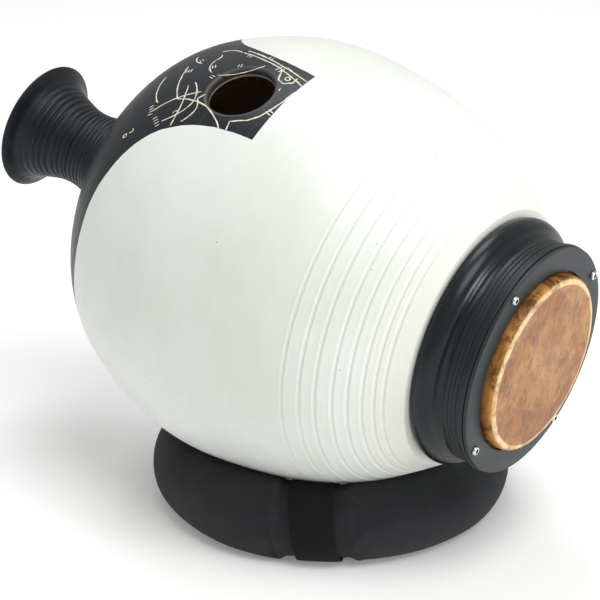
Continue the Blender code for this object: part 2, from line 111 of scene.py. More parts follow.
# Neck
NECK_START = -0.088 * BELLY_R
NECK_BEND_END = 0.06 * BELLY_R
NECK_LINE_Z = -1.12 * BELLY_R
NECK_LINE_UP = 0.062 * BELLY_R
NECK_LINE_SIDE = -0.008 * BELLY_R
NECK_UP = radians(5.2)
NECK_SIDE = radians(2.0)
NECK_WALL = 6.8 * MM
NECK_OUTLINE = (
    (-0.088, 0.262), (-0.03, 0.240), (0.02, 0.218), (0.07, 0.200), (0.12, 0.190), (0.17, 0.188),
    (0.22, 0.193), (0.27, 0.206), (0.32, 0.222), (0.36, 0.237), (0.39, 0.254), (0.412, 0.276),
    (0.426, 0.300), (0.440, 0.316),
)
NECK_LIP = 0.0165 * BELLY_R
NECK_COLUMNS = 160
NECK_STEP = 0.55 * MM
RIB_FROM = -0.030 * BELLY_R
RIB_TO = 0.405 * BELLY_R
RIB_COUNT = 15
RIB_DEPTH = 1.35 * MM

# Head
BASE_REAR_Z = 205.2 * MM
BASE_FRONT_Z = 219.5 * MM
BASE_R = 88.7 * MM
BASE_BORE_R = 60.0 * MM
CHANNEL_OUTER_R = 78.5 * MM
CHANNEL_INNER_R = 69.8 * MM
CHANNEL_FLOOR_Z = 214.5 * MM
SPACER_FRONT_Z = 223.4 * MM
SPACER_R = 90.4 * MM
CLAMP_REAR_Z = 223.7 * MM
CLAMP_FRONT_Z = 226.8 * MM
CLAMP_R = 89.6 * MM
CLAMP_BORE_R = 71.4 * MM
BEARING_R = 68.0 * MM
SKIN_TOP_Z = 235.5 * MM
SKIN_THICK = 1.0 * MM
SKIN_EDGE_ROUND = 4.5 * MM
PLEATS = 34.0
PLEAT_DEPTH = 0.35 * MM
BEAD_Z = 189.0 * MM
BEAD_R = 98.7 * MM
BEAD_ROUND = 11.5 * MM
COVE_R = 87.2 * MM
COVE_FLARE = 2.0 * MM
COVE_REAR_Z = 202.3 * MM
COVE_FRONT_Z = 203.2 * MM
HEAD_COLUMNS = 192
PLY_LINES = (209.4 * MM, 212.6 * MM, 216.2 * MM)     # scored lines round the base hoop
PLY_HALF = 0.45 * MM
PLY_DEPTH = 0.5 * MM

# Clamp screws
SCREW_COUNT = 4
SCREW_FIRST = radians(35.2)
SCREW_CIRCLE_R = 83.8 * MM
SCREW_HEAD_R = 3.5 * MM
SCREW_HEAD_HEIGHT = 2.2 * MM
SCREW_SHANK_R = 2.0 * MM
SCREW_LENGTH = 18.0 * MM
SCREW_HOLE_R = 2.4 * MM
SOCKET_R = 1.8 * MM
SOCKET_DEPTH = 1.3 * MM
SOCKET_CHAMFER = 0.12 * MM
SCREW_PITCH = 0.7 * MM
THREAD_DEPTH = 0.28 * MM
POCKET_R = 3.2 * MM
POCKET_FLOOR_Z = 206.8 * MM

# Ring cushion
RING_X = DRUM_X + 0.195 * BELLY_R
RING_Y = 0.045 * BELLY_R
RING_Z = 27.1 * MM
RING_R = 108.1 * MM
TUBE_HALF_WIDTH = 34.0 * MM
TUBE_HALF_HEIGHT = 29.0 * MM
TUBE_EXPONENT = 0.9
SEAT_GAP = 0.5 * MM
STRAP_ANGLE = radians(-59.0)
STRAP_WIDTH = 34.0 * MM
STRAP_LEAN = 4.0 * MM           # it is shifted by this at the tube's top, and back below
STRAP_THICK = 2.2 * MM
STRAP_TOP = 0.05 * MM            # depth of its outer face below the cushion's own outline
STRAP_STEP = 2.4 * MM
STRAP_COLUMNS = 168
STRAP_RIPPLE = 0.12 * MM
STRAP_CLEARANCE = 0.9 * MM
STRAP_MARGIN = 4.0 * MM
STRAP_FADE = 11.0 * MM
SEAT_SWELL = 1.8 * MM           # how much fuller the tube's top is beside the strap
PUCKER_DEPTH = 0.30 * MM
WAVE_HEIGHT = 0.45 * MM
SEAM_AT = radians(212.0)        # round the tube, from its outer side over the top
SEAM_WIDTH = 1.3 * MM
SEAM_DEPTH = 0.9 * MM
CUSHION_ALONG = 300
CUSHION_AROUND = 76
CLOTH_FRAMES = 20
CLOTH_REACH = 5.0 * MM          # the farthest a point may move in the simulation

# Camera and light
CAMERA_AT = Vector((5.7331, -7.5522, 3.8236)) * BELLY_R
CAMERA_TURN = (radians(66.83), 0.0, radians(36.98))
CAMERA_LENS = 132.03
SENSOR_WIDTH = 36.0
WORLD_TINT = (1.0, 1.0, 0.965, 1.0)
WORLD_STRENGTH = 0.50
MIDDLE = (0.0, 0.0, 0.18)
LIGHTS = (      # name, place, target, size, watts, colour
    ("key", (1.3, -0.5, 2.5), MIDDLE, (1.6, 1.6), 39.0, (1.0, 1.0, 1.0)),
    ("top", (-0.7, 0.6, 2.5), MIDDLE, (1.2, 1.2), 22.0, (0.97, 0.98, 1.0)),
    ("strip", (2.3, 0.5, 0.42), (0.22, -0.06, 0.24), (0.50, 0.22), 14.0, (0.92, 1.0, 0.97)),
)


# ---------------------------------------------------------------- shapes

def belly_curvature():
    """Second derivatives of the natural cubic spline through the belly's stations."""
    z = np.array(BELLY_STATIONS)
    r = np.array(BELLY_RADII)
    step = np.diff(z)
    system = np.eye(len(z))
    right = np.zeros(len(z))
    for i in range(1, len(z) - 1):
        system[i, i - 1:i + 2] = step[i - 1], 2.0 * (step[i - 1] + step[i]), step[i]
        right[i] = 6.0 * ((r[i + 1] - r[i]) / step[i] - (r[i] - r[i - 1]) / step[i - 1])
    return np.linalg.solve(system, right)


BELLY_BEND = belly_curvature()


def belly_radius(z):
    """Outer radius of the belly at heights z of the drum frame; straight past the last stations."""
    x = np.asarray(z, float) / BELLY_R
    stations = np.array(BELLY_STATIONS)
    radii = np.array(BELLY_RADII)
    i = np.clip(np.searchsorted(stations, x) - 1, 0, len(stations) - 2)
    low, high = stations[i], stations[i + 1]
    step = high - low
    inside = np.clip(x, low, high)
    a = (high - inside) / step
    b = (inside - low) / step
    bend_low, bend_high = BELLY_BEND[i], BELLY_BEND[i + 1]
    radius = a * radii[i] + b * radii[i + 1]
    radius += ((a ** 3 - a) * bend_low + (b ** 3 - b) * bend_high) * step * step / 6.0
    slope = (radii[i + 1] - radii[i]) / step
    slope += ((3 * b * b - 1) * bend_high - (3 * a * a - 1) * bend_low) * step / 6.0
    return BELLY_R * (radius + slope * (x - inside))


def arc(centre_r, centre_z, radius, start, end, steps):
    """Points (radius, z) on an arc; angle 0 points outwards and 90 degrees towards the head."""
    angles = np.linspace(radians(start), radians(end), steps + 1)
    return [(centre_r + radius * cos(t), centre_z + radius * sin(t)) for t in angles]


def rounded(corners, radius, steps=4):
    """A closed outline with each corner replaced by a small curve."""
    points = []
    count = len(corners)
    for i in range(count):
        corner = np.array(corners[i])
        ends = []
        for side in (-1, 1):
            way = np.array(corners[(i + side) % count]) - corner
            reach = min(radius, 0.45 * hypot(*way))
            ends.append(corner + way / hypot(*way) * reach)
        start, end = ends
        points.append(start)
        for k in range(1, steps + 1):
            t = k / steps
            points.append((1 - t) ** 2 * start + 2 * t * (1 - t) * corner + t * t * end)
    return [tuple(point) for point in points]


def box(left, right, low, high):
    return [(left, low), (right, low), (right, high), (left, high)]


def ring_faces(rows, columns, first=0, wrap=False):
    """Quads between consecutive rows of points, each row closed on itself."""
    i, j = np.meshgrid(np.arange(rows if wrap else rows - 1), np.arange(columns), indexing="ij")
    after = (i + 1) % rows
    beside = (j + 1) % columns
    corners = [i * columns + j, i * columns + beside, after * columns + beside, after * columns + j]
    return (np.stack(corners, -1).reshape(-1, 4) + first).tolist()


def add_piece(name, points, faces, materials, body, replaces=(), place=DRUM, sharp=35.0):
    """Makes a piece from points and faces, smooth-shaded, and rides it on its body."""
    mesh = bpy.data.meshes.new(name)
    mesh.from_pydata([tuple(point) for point in points], [], faces)
    bm = bmesh.new()
    bm.from_mesh(mesh)
    bmesh.ops.remove_doubles(bm, verts=bm.verts, dist=0.003 * MM)
    loose = [vert for vert in bm.verts if not vert.link_faces]
    bmesh.ops.delete(bm, geom=loose, context="VERTS")
    bmesh.ops.recalc_face_normals(bm, faces=bm.faces)
    bm.to_mesh(mesh)
    bm.free()
    mesh.transform(place)
    for material in materials:
        mesh.materials.append(material)
    smooth(mesh, sharp)
    thing = bpy.data.objects.new(name, mesh)
    bpy.context.scene.collection.objects.link(thing)
    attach(thing, body)
    if replaces:
        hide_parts(*replaces)
    return thing


def smooth(mesh, sharp):
    mesh.shade_smooth()
    mesh.set_sharp_from_angle(angle=radians(sharp))


def lathe_points(outline, columns):
    angles = np.linspace(0.0, 2.0 * pi, columns, endpoint=False)
    outline = np.array(outline)
    x = outline[:, :1] * np.cos(angles)
    y = outline[:, :1] * np.sin(angles)
    z = np.repeat(outline[:, 1:], columns, axis=1)
    return np.stack([x, y, z], -1).reshape(-1, 3)


def add_turned(name, outline, materials, body, replaces, columns=HEAD_COLUMNS, closed=True, place=DRUM):
    points = lathe_points(outline, columns)
    faces = ring_faces(len(outline), columns, wrap=closed)
    return add_piece(name, points, faces, materials, body, replaces, place)


def bake_modifiers(thing, sharp=35.0):
    """Replaces a piece's mesh with the result of its modifiers."""
    bpy.context.view_layer.update()
    depsgraph = bpy.context.evaluated_depsgraph_get()
    mesh = bpy.data.meshes.new_from_object(thing.evaluated_get(depsgraph))
    thing.modifiers.clear()
    thing.data = mesh
    smooth(mesh, sharp)


def screw_places():
    for i in range(SCREW_COUNT):
        angle = SCREW_FIRST + i * 2.0 * pi / SCREW_COUNT
        yield i + 1, SCREW_CIRCLE_R * cos(angle), SCREW_CIRCLE_R * sin(angle)


def drill(thing, radius, low, high):
    """Cuts the four screws' holes out of a piece of the head."""
    bm = bmesh.new()
    for _, x, y in screw_places():
        place = Matrix.Translation((x, y, 0.5 * (low + high)))
        bmesh.ops.create_cone(
            bm, cap_ends=True, segments=40, radius1=radius, radius2=radius, depth=high - low, matrix=place,
        )
    mesh = bpy.data.meshes.new("drill")
    bm.to_mesh(mesh)
    bm.free()
    cutter = bpy.data.objects.new("drill", mesh)
    bpy.context.scene.collection.objects.link(cutter)
    cutter.matrix_world = DRUM
    modifier = thing.modifiers.new("holes", "BOOLEAN")
    modifier.operation = "DIFFERENCE"
    modifier.solver = "EXACT"
    modifier.object = cutter
    bake_modifiers(thing)
    bpy.data.objects.remove(cutter)
    bpy.data.meshes.remove(mesh)


# ---------------------------------------------------------------- materials

FLAT = (0.0, 0.0)               # an axis along which a stretched noise doesn't change


class Look:
    """A node material put together step by step; every step returns the socket it ends in."""

    def __init__(self, name, place=DRUM):
        self.material = bpy.data.materials.new(name)
        self.material.use_nodes = True
        self.tree = self.material.node_tree
        self.shader = self.tree.nodes["Principled BSDF"]
        into = self.tree.nodes.new("ShaderNodeMapping")
        into.vector_type = "TEXTURE"
        into.inputs["Location"].default_value = place.translation
        into.inputs["Rotation"].default_value = place.to_euler()
        self.set(into.inputs["Vector"], self.tree.nodes.new("ShaderNodeTexCoord").outputs["Object"])
        self.place = into.outputs[0]

    def set(self, socket, value):
        if isinstance(value, bpy.types.NodeSocket):
            self.tree.links.new(value, socket)
        elif isinstance(value, (tuple, list)) and len(value) == 3 and socket.type == "RGBA":
            socket.default_value = (*value, 1.0)
        else:
            socket.default_value = value

    def node(self, kind, inputs, **settings):
        """A new node with its settings made and its inputs, by name or number, filled."""
        node = self.tree.nodes.new("ShaderNode" + kind)
        for name, value in settings.items():
            setattr(node, name, value)
        for key, value in dict(inputs).items():
            self.set(node.inputs[key], value)
        return node

    def math(self, operation, a, b=0.0, c=0.0, clamp=False):
        return self.node("Math", enumerate((a, b, c)), operation=operation, use_clamp=clamp).outputs[0]

    def times(self, a, b, clamp=False):
        return self.math("MULTIPLY", a, b, clamp=clamp)

    def plus(self, a, b):
        return self.math("ADD", a, b)

    def minus(self, a, b):
        return self.math("SUBTRACT", a, b)

    def length(self, x, y):
        return self.math("SQRT", self.plus(self.times(x, x), self.times(y, y)))

    def split(self, vector):
        return self.node("SeparateXYZ", {0: vector}).outputs

    def combine(self, x, y, z):
        return self.node("CombineXYZ", enumerate((x, y, z))).outputs[0]

    def noise(self, scale, detail=4.0, rough=0.5, vector=None, distortion=0.0):
        return self.node("TexNoise", {
            "Vector": vector or self.place, "Scale": scale, "Detail": detail, "Roughness": rough,
            "Distortion": distortion,
        }).outputs[0]

    def stretched(self, detail, rough, *axes):
        """Noise over three (value, scale) axes, each with a scale of its own."""
        return self.noise(1.0, detail, rough, self.combine(*(self.times(*axis) for axis in axes)))

    def voronoi(self, scale):
        return self.node("TexVoronoi", {"Vector": self.place, "Scale": scale}).outputs["Distance"]

    def between(self, value, low, high, to_low=0.0, to_high=1.0):
        """A smooth step of value from to_low at low to to_high at high."""
        inputs = enumerate((value, low, high, to_low, to_high))
        return self.node("MapRange", inputs, interpolation_type="SMOOTHSTEP").outputs[0]

    def mix(self, share, a, b):
        return self.node("Mix", {0: share, 6: a, 7: b}, data_type="RGBA").outputs[2]

    def layer(self, under, over, value, low, high, share):
        """Lays over on under by up to share, where value goes from low to high."""
        return self.mix(self.between(value, low, high, 0.0, share), under, over)

    def curve(self, value, points, low, high, top):
        """top at most, from (place, height) points over places low to high."""
        node = self.tree.nodes.new("ShaderNodeFloatCurve")
        line = node.mapping.curves[0]
        spots = [((x - low) / (high - low), y / top) for x, y in points]
        line.points[0].location = spots[0]
        line.points[1].location = spots[-1]
        for spot in spots[1:-1]:
            line.points.new(*spot)
        for point in line.points:
            point.handle_type = "AUTO_CLAMPED"
        node.mapping.update()
        share = self.math("MULTIPLY_ADD", value, 1.0 / (high - low), -low / (high - low), clamp=True)
        self.set(node.inputs["Value"], share)
        return self.times(node.outputs[0], top)

    def bump(self, height, distance):
        return self.node("Bump", {"Distance": distance, "Height": height}).outputs[0]

    def finish(self, **values):
        """Puts values on the shader; Base_Color stands for "Base Color" and so on."""
        for name, value in values.items():
            self.set(self.shader.inputs[name.replace("_", " ")], value)
        return self.material


def black_slip(look, across, along):
    """Colour, roughness and bump of the smoke-black slip; across runs round the piece, along down it."""
    brush = look.stretched(5.0, 0.6, (across, 5.0), (along, 260.0), FLAT)
    cloud = look.noise(11.0, 4.0, 0.6)
    colour = look.mix(cloud, (0.0065, 0.0080, 0.0105), (0.018, 0.022, 0.028))
    colour = look.layer(colour, (0.036, 0.044, 0.052), brush, 0.52, 0.80, 0.5)
    dust = look.between(look.noise(420.0, 2.0), 0.70, 0.80, 0.0, 0.35)
    colour = look.mix(dust, colour, (0.09, 0.095, 0.095))
    rough = look.between(brush, 0.3, 0.8, 0.32, 0.48)
    grain = look.plus(look.times(brush, 0.8), look.noise(900.0, 2.0))
    return colour, rough, grain


def belly_look():
    look = Look("belly_slip")
    x, y, z = look.split(look.place)
    angle = look.math("ARCTAN2", y, x)
    station = look.math("DIVIDE", z, BELLY_R)
    # White slip
    cloud = look.noise(9.0, 5.0, 0.55)
    bands = look.stretched(3.0, 0.5, FLAT, (angle, 0.35), (z, 120.0))
    white = look.mix(look.between(cloud, 0.35, 0.70), (0.79, 0.81, 0.775), (0.725, 0.745, 0.70))
    white = look.layer(white, (0.84, 0.85, 0.82), bands, 0.45, 0.75, 0.14)
    mottle = look.noise(70.0, 4.0, 0.6)
    white = look.layer(white, (0.66, 0.68, 0.62), mottle, 0.55, 0.8, 0.22)
    near_head = look.between(z, SHOULDER_Z - 30.2 * MM, SHOULDER_Z - 0.2 * MM)
    white = look.mix(look.times(near_head, 0.35), white, (0.74, 0.72, 0.61))
    speck = look.between(look.voronoi(95.0), 0.035, 0.06, 1.0, 0.0)
    speck = look.times(speck, look.between(look.noise(24.0, 2.0), 0.56, 0.60))
    white = look.mix(look.times(speck, 0.8), white, (0.20, 0.19, 0.15))
    # Black slip, laid over the white inside a brushed edge
    dark, dark_rough, dark_grain = black_slip(look, angle, z)
    wander = look.math("MULTIPLY_ADD", look.noise(120.0, 3.0), PANEL_WANDER, -0.5 * PANEL_WANDER)
    off = look.math("ABSOLUTE", look.minus(angle, PANEL_MIDDLE))
    off = look.math("MULTIPLY_ADD", off, 180.0 / pi, wander)
    width = look.curve(station, PANEL_EDGE, PANEL_SPAN[0], PANEL_SPAN[1], PANEL_WIDEST)
    inside = look.times(look.minus(width, off), PANEL_SHARPNESS, clamp=True)
    end = look.math("MULTIPLY_ADD", wander, PANEL_END_WANDER, PANEL_END)
    before_end = look.times(look.minus(end, station), PANEL_END_SHARPNESS, clamp=True)
    black = look.times(inside, before_end)
    # Painted highlight: a paler ring on the black slip round the hole's lip, fading out where the drum
    # frame's x drops from 80 to 50 mm
    cut_x = look.times(look.math("SINE", look.minus(angle, HOLE_ANGLE)), look.length(x, y))
    cut_z = look.minus(z, HOLE_Z)
    reach = look.length(cut_x, cut_z)
    rim = look.between(reach, HOLE_R + HOLE_LIP * 0.5, HOLE_R + HOLE_LIP * 1.25, 1.0, 0.0)
    near = look.between(x, 50.0 * MM, 80.0 * MM)
    dark = look.mix(look.times(look.times(rim, near), 0.75), dark, (0.085, 0.080, 0.074))
    colour = look.mix(black, white, dark)
    rough = look.between(mottle, 0.3, 0.75, 0.34, 0.46)
    rough = look.node("Mix", {0: black, 2: rough, 3: dark_rough}).outputs[0]
    grain = look.plus(look.times(bands, 1.6), look.times(look.noise(260.0, 3.0), 0.6))
    grain = look.plus(grain, look.times(dark_grain, black))
    grain = look.plus(grain, look.times(speck, -2.0))
    return look.finish(Base_Color=colour, Roughness=rough, Normal=look.bump(grain, 0.08 * MM),
                       Specular_IOR_Level=0.27, Specular_Tint=(0.88, 0.96, 1.0))


def clay_look():
    look = Look("fired_clay")
    z = look.split(look.place)[2]
    rings = look.stretched(3.0, 0.5, FLAT, FLAT, (z, 420.0))
    cloud = look.noise(18.0, 5.0, 0.6)
    colour = look.mix(cloud, (0.52, 0.40, 0.33), (0.66, 0.53, 0.45))
    colour = look.layer(colour, (0.72, 0.60, 0.52), rings, 0.5, 0.8, 0.5)
    grain = look.plus(rings, look.noise(500.0, 4.0))
    return look.finish(Base_Color=colour, Roughness=look.between(cloud, 0.3, 0.7, 0.72, 0.9),
                       Normal=look.bump(grain, 0.2 * MM))


def neck_look():
    look = Look("neck_slip")
    x, y, z = look.split(look.place)
    colour, rough, grain = black_slip(look, look.math("ARCTAN2", y, x), z)
    return look.finish(Base_Color=colour, Roughness=rough, Normal=look.bump(grain, 0.1 * MM),
                       Specular_IOR_Level=0.27, Specular_Tint=(0.82, 0.93, 1.0))


def slip_line_look():
    look = Look("scratched_line")
    worn = look.noise(300.0, 4.0, 0.65)
    colour = look.mix(look.between(worn, 0.40, 0.72), (0.80, 0.77, 0.62), (0.50, 0.46, 0.34))
    return look.finish(Base_Color=colour, Roughness=look.between(worn, 0.3, 0.7, 0.55, 0.75),
                       Normal=look.bump(worn, 0.15 * MM))


def black_wood_look(name, dark, pale, streak_share, rough_low, rough_high, relief=0.1 * MM):
    """Black-stained turned wood: fine streaks that run round the ring, pores, and pale dust specks."""
    look = Look(name)
    x, y, z = look.split(look.place)
    reach = look.length(x, y)
    around = look.math("ARCTAN2", y, x)
    grain = look.stretched(5.0, 0.65, (around, 4.0), (reach, 900.0), (z, 900.0))
    cloud = look.noise(16.0, 4.0)
    pores = look.between(look.noise(700.0, 2.0), 0.62, 0.74)
    colour = look.mix(cloud, dark, pale)
    colour = look.mix(look.between(grain, 0.5, 0.8, 0.0, streak_share), colour, tuple(2.6 * c for c in pale))
    colour = look.mix(look.times(pores, 0.35), colour, dark)
    dust = look.between(look.noise(300.0, 2.0), 0.72, 0.80, 0.0, 0.25)
    colour = look.mix(dust, colour, (0.16, 0.16, 0.15))
    height = look.minus(grain, look.times(pores, 0.6))
    return look.finish(Base_Color=colour, Roughness=look.between(grain, 0.3, 0.8, rough_low, rough_high),
                       Normal=look.bump(height, relief), Specular_IOR_Level=0.32,
                       Specular_Tint=(0.84, 0.95, 1.0))


def skin_look():
    """Goat skin: mottled centre, a painted highlight ring just inside its rounded edge over the bearing edge,
    and an amber skirt with painted shade towards the clamp ring.
    """
    look = Look("goat_skin")
    x, y, z = look.split(look.place)
    reach = look.length(x, y)
    warp = look.noise(26.0, 3.0, 0.6)
    cloud = look.noise(48.0, 6.0, 0.68, distortion=0.7)
    blotch = look.noise(15.0, 4.0, 0.6, distortion=0.5)
    hair = look.stretched(5.0, 0.7, (x, 60.0), (y, 420.0), (warp, 3.0))
    fine = look.noise(95.0, 6.0, 0.72, distortion=0.15)
    centre = look.mix(look.between(cloud, 0.36, 0.64), (0.22, 0.080, 0.028), (0.40, 0.180, 0.068))
    centre = look.layer(centre, (0.53, 0.285, 0.120), blotch, 0.47, 0.66, 0.75)
    centre = look.layer(centre, (0.18, 0.064, 0.022), hair, 0.48, 0.70, 0.60)
    centre = look.layer(centre, (0.58, 0.335, 0.155), fine, 0.52, 0.70, 0.50)
    centre = look.layer(centre, (0.14, 0.048, 0.016), fine, 0.47, 0.32, 0.55)
    skirt = look.mix(look.between(cloud, 0.40, 0.60), (0.11, 0.036, 0.007), (0.50, 0.225, 0.045))
    skirt = look.layer(skirt, (0.66, 0.36, 0.095), fine, 0.52, 0.66, 0.65)
    # Painted shade: the skirt darkens towards the clamp ring below it
    low = look.between(z, SKIN_TOP_Z - 11.0 * MM, SKIN_TOP_Z - 2.5 * MM, 1.0, 0.0)
    skirt = look.mix(look.times(low, 0.60), skirt, (0.10, 0.033, 0.009))
    on_top = look.between(reach, BEARING_R + 0.5 * MM, BEARING_R - 2.5 * MM)
    colour = look.mix(on_top, skirt, centre)
    # Painted highlight: a bright cream ring on the top, just inside the rounded edge, broken up by noise
    edge = look.between(reach, BEARING_R - 5.0 * MM, BEARING_R - 2.8 * MM)
    edge = look.times(edge, look.between(z, SKIN_TOP_Z - 2.0 * MM, SKIN_TOP_Z - 0.5 * MM))
    edge = look.times(edge, look.between(fine, 0.34, 0.58, 0.25, 1.0))
    colour = look.mix(edge, colour, (0.86, 0.63, 0.33))
    pore = look.noise(650.0, 3.0)
    height = look.plus(look.times(cloud, 1.2), look.times(pore, 0.5))
    height = look.plus(height, look.times(hair, 0.6))
    return look.finish(Base_Color=colour, Roughness=look.between(cloud, 0.3, 0.7, 0.34, 0.54),
                       Normal=look.bump(height, 0.45 * MM), Specular_IOR_Level=0.30)


def metal_look(name, colour, rough):
    look = Look(name)
    x, y, _ = look.split(look.place)
    scratch = look.stretched(4.0, 0.7, (x, 2500.0), (y, 2500.0), FLAT)
    tone = look.mix(scratch, tuple(0.72 * c for c in colour), colour)
    return look.finish(Base_Color=tone, Metallic=1.0, Normal=look.bump(scratch, 0.02 * MM),
                       Roughness=look.between(scratch, 0.3, 0.7, rough, rough + 0.18))


def fabric_look(name, dark, pale, thread, fuzz, sheen):
    """Woven or looped black textile: fine threads in both directions, lint and faded patches."""
    look = Look(name, WORLD)
    x, y, z = look.split(look.place)
    out_x = look.minus(x, RING_X)
    out_y = look.minus(y, RING_Y)
    along = look.times(look.math("ARCTAN2", out_y, out_x), RING_R)
    from_tube = look.minus(look.length(out_x, out_y), RING_R)
    around = look.times(look.math("ARCTAN2", look.minus(z, RING_Z), from_tube), TUBE_HALF_WIDTH)
    warp = look.math("SINE", look.times(along, 2.0 * pi / thread))
    weft = look.math("SINE", look.times(around, 2.0 * pi / thread))
    weave = look.times(warp, weft)
    cloud = look.noise(14.0, 4.0, 0.6)
    lint = look.between(look.noise(520.0, 3.0), 0.66, 0.78, 0.0, 0.4)
    tuft = look.noise(fuzz, 4.0, 0.7)
    colour = look.mix(look.between(cloud, 0.35, 0.65), dark, pale)
    colour = look.layer(colour, tuple(1.9 * c for c in pale), weave, -0.6, 0.9, 0.35)
    colour = look.mix(lint, colour, tuple(3.0 * c for c in pale))
    height = look.plus(look.times(weave, 0.5), look.times(tuft, 1.6))
    return look.finish(Base_Color=colour, Roughness=look.between(tuft, 0.3, 0.7, 0.80, 0.96),
                       Normal=look.bump(height, 0.35 * MM), Sheen_Weight=sheen, Sheen_Roughness=0.5,
                       Specular_IOR_Level=0.25)


def plain_grain_look(name, dark, pale, scale, rough, depth):
    """Wood, rubber or foam that is mostly hidden inside."""
    look = Look(name, WORLD)
    grain = look.noise(scale, 5.0, 0.6, distortion=0.6)
    pore = look.voronoi(scale * 9.0)
    colour = look.mix(look.between(grain, 0.3, 0.7), dark, pale)
    height = look.plus(grain, look.times(pore, 0.4))
    return look.finish(Base_Color=colour, Roughness=look.between(grain, 0.3, 0.7, rough - 0.08, rough + 0.08),
                       Normal=look.bump(height, depth))


# ---------------------------------------------------------------- belly

def belly_relief(z):
    """The turned grooves: a shallow furrow with a faint raised line on each side."""
    relief = np.zeros_like(z)
    for station in GROOVES:
        away = (z - station * BELLY_R) / GROOVE_WIDTH
        relief -= GROOVE_DEPTH * np.exp(-away ** 2)
        for side in (-1.0, 1.0):
            relief += RIDGE_SHARE * GROOVE_DEPTH * np.exp(-((away - side * RIDGE_AWAY) / RIDGE_WIDTH) ** 2)
    for station in CAP_RINGS:
        away = (z - station * BELLY_R) / GROOVE_WIDTH
        relief -= CAP_RING_DEPTH * np.exp(-away ** 2)
    return relief


def belly_rows():
    """Heights of the belly's rows: even steps, finer across each groove, exact at the hole's patch."""
    low, high = HOLE_Z - HOLE_BLOCK, HOLE_Z + HOLE_BLOCK
    rows = [np.linspace(a, b, int(ceil((b - a) / BELLY_STEP)) + 1)
            for a, b in ((NECK_MOUTH_Z, low), (low, high), (high, SHOULDER_Z))]
    rows = np.concatenate([rows[0], rows[1][1:], rows[2][1:]])
    fine = []
    for station in GROOVES + CAP_RINGS:
        centre = station * BELLY_R
        rows = rows[np.abs(rows - centre) > GROOVE_ROWS + 0.2 * MM]
        fine.append(np.linspace(centre - GROOVE_ROWS, centre + GROOVE_ROWS, 15))
    rows = np.concatenate([rows] + fine + [[NECK_MOUTH_Z, SHOULDER_Z]])
    rows = np.unique(np.round(rows[(rows >= NECK_MOUTH_Z) & (rows <= SHOULDER_Z)], 7))
    keep = np.concatenate([[True], np.diff(rows) > 0.1 * MM])
    return rows[keep]


def hole_frame():
    out = np.array((cos(HOLE_ANGLE), sin(HOLE_ANGLE), 0.0))
    side = np.array((-sin(HOLE_ANGLE), cos(HOLE_ANGLE), 0.0))
    return out, side


def on_wall(a, b, radius_at, sink=0.0):
    """The point of a wall at (a, b) from the hole's middle, seen along the hole; sink goes inwards."""
    out, side = hole_frame()
    z = HOLE_Z + b
    depth = np.sqrt(radius_at(z) ** 2 - a ** 2) - sink
    return depth[:, None] * out + a[:, None] * side + z[:, None] * np.array((0.0, 0.0, 1.0))


def inner_radius(z):
    return belly_radius(z) - BELLY_WALL


def patch_loop(rows, left, right):
    """Grid indices round the patch that the hole's rings are woven into."""
    loop = [(rows[0], j) for j in range(left, right)]
    loop += [(row, right) for row in rows[:-1]]
    loop += [(rows[-1], j) for j in range(right, left, -1)]
    loop += [(row, left) for row in rows[:0:-1]]
    return loop


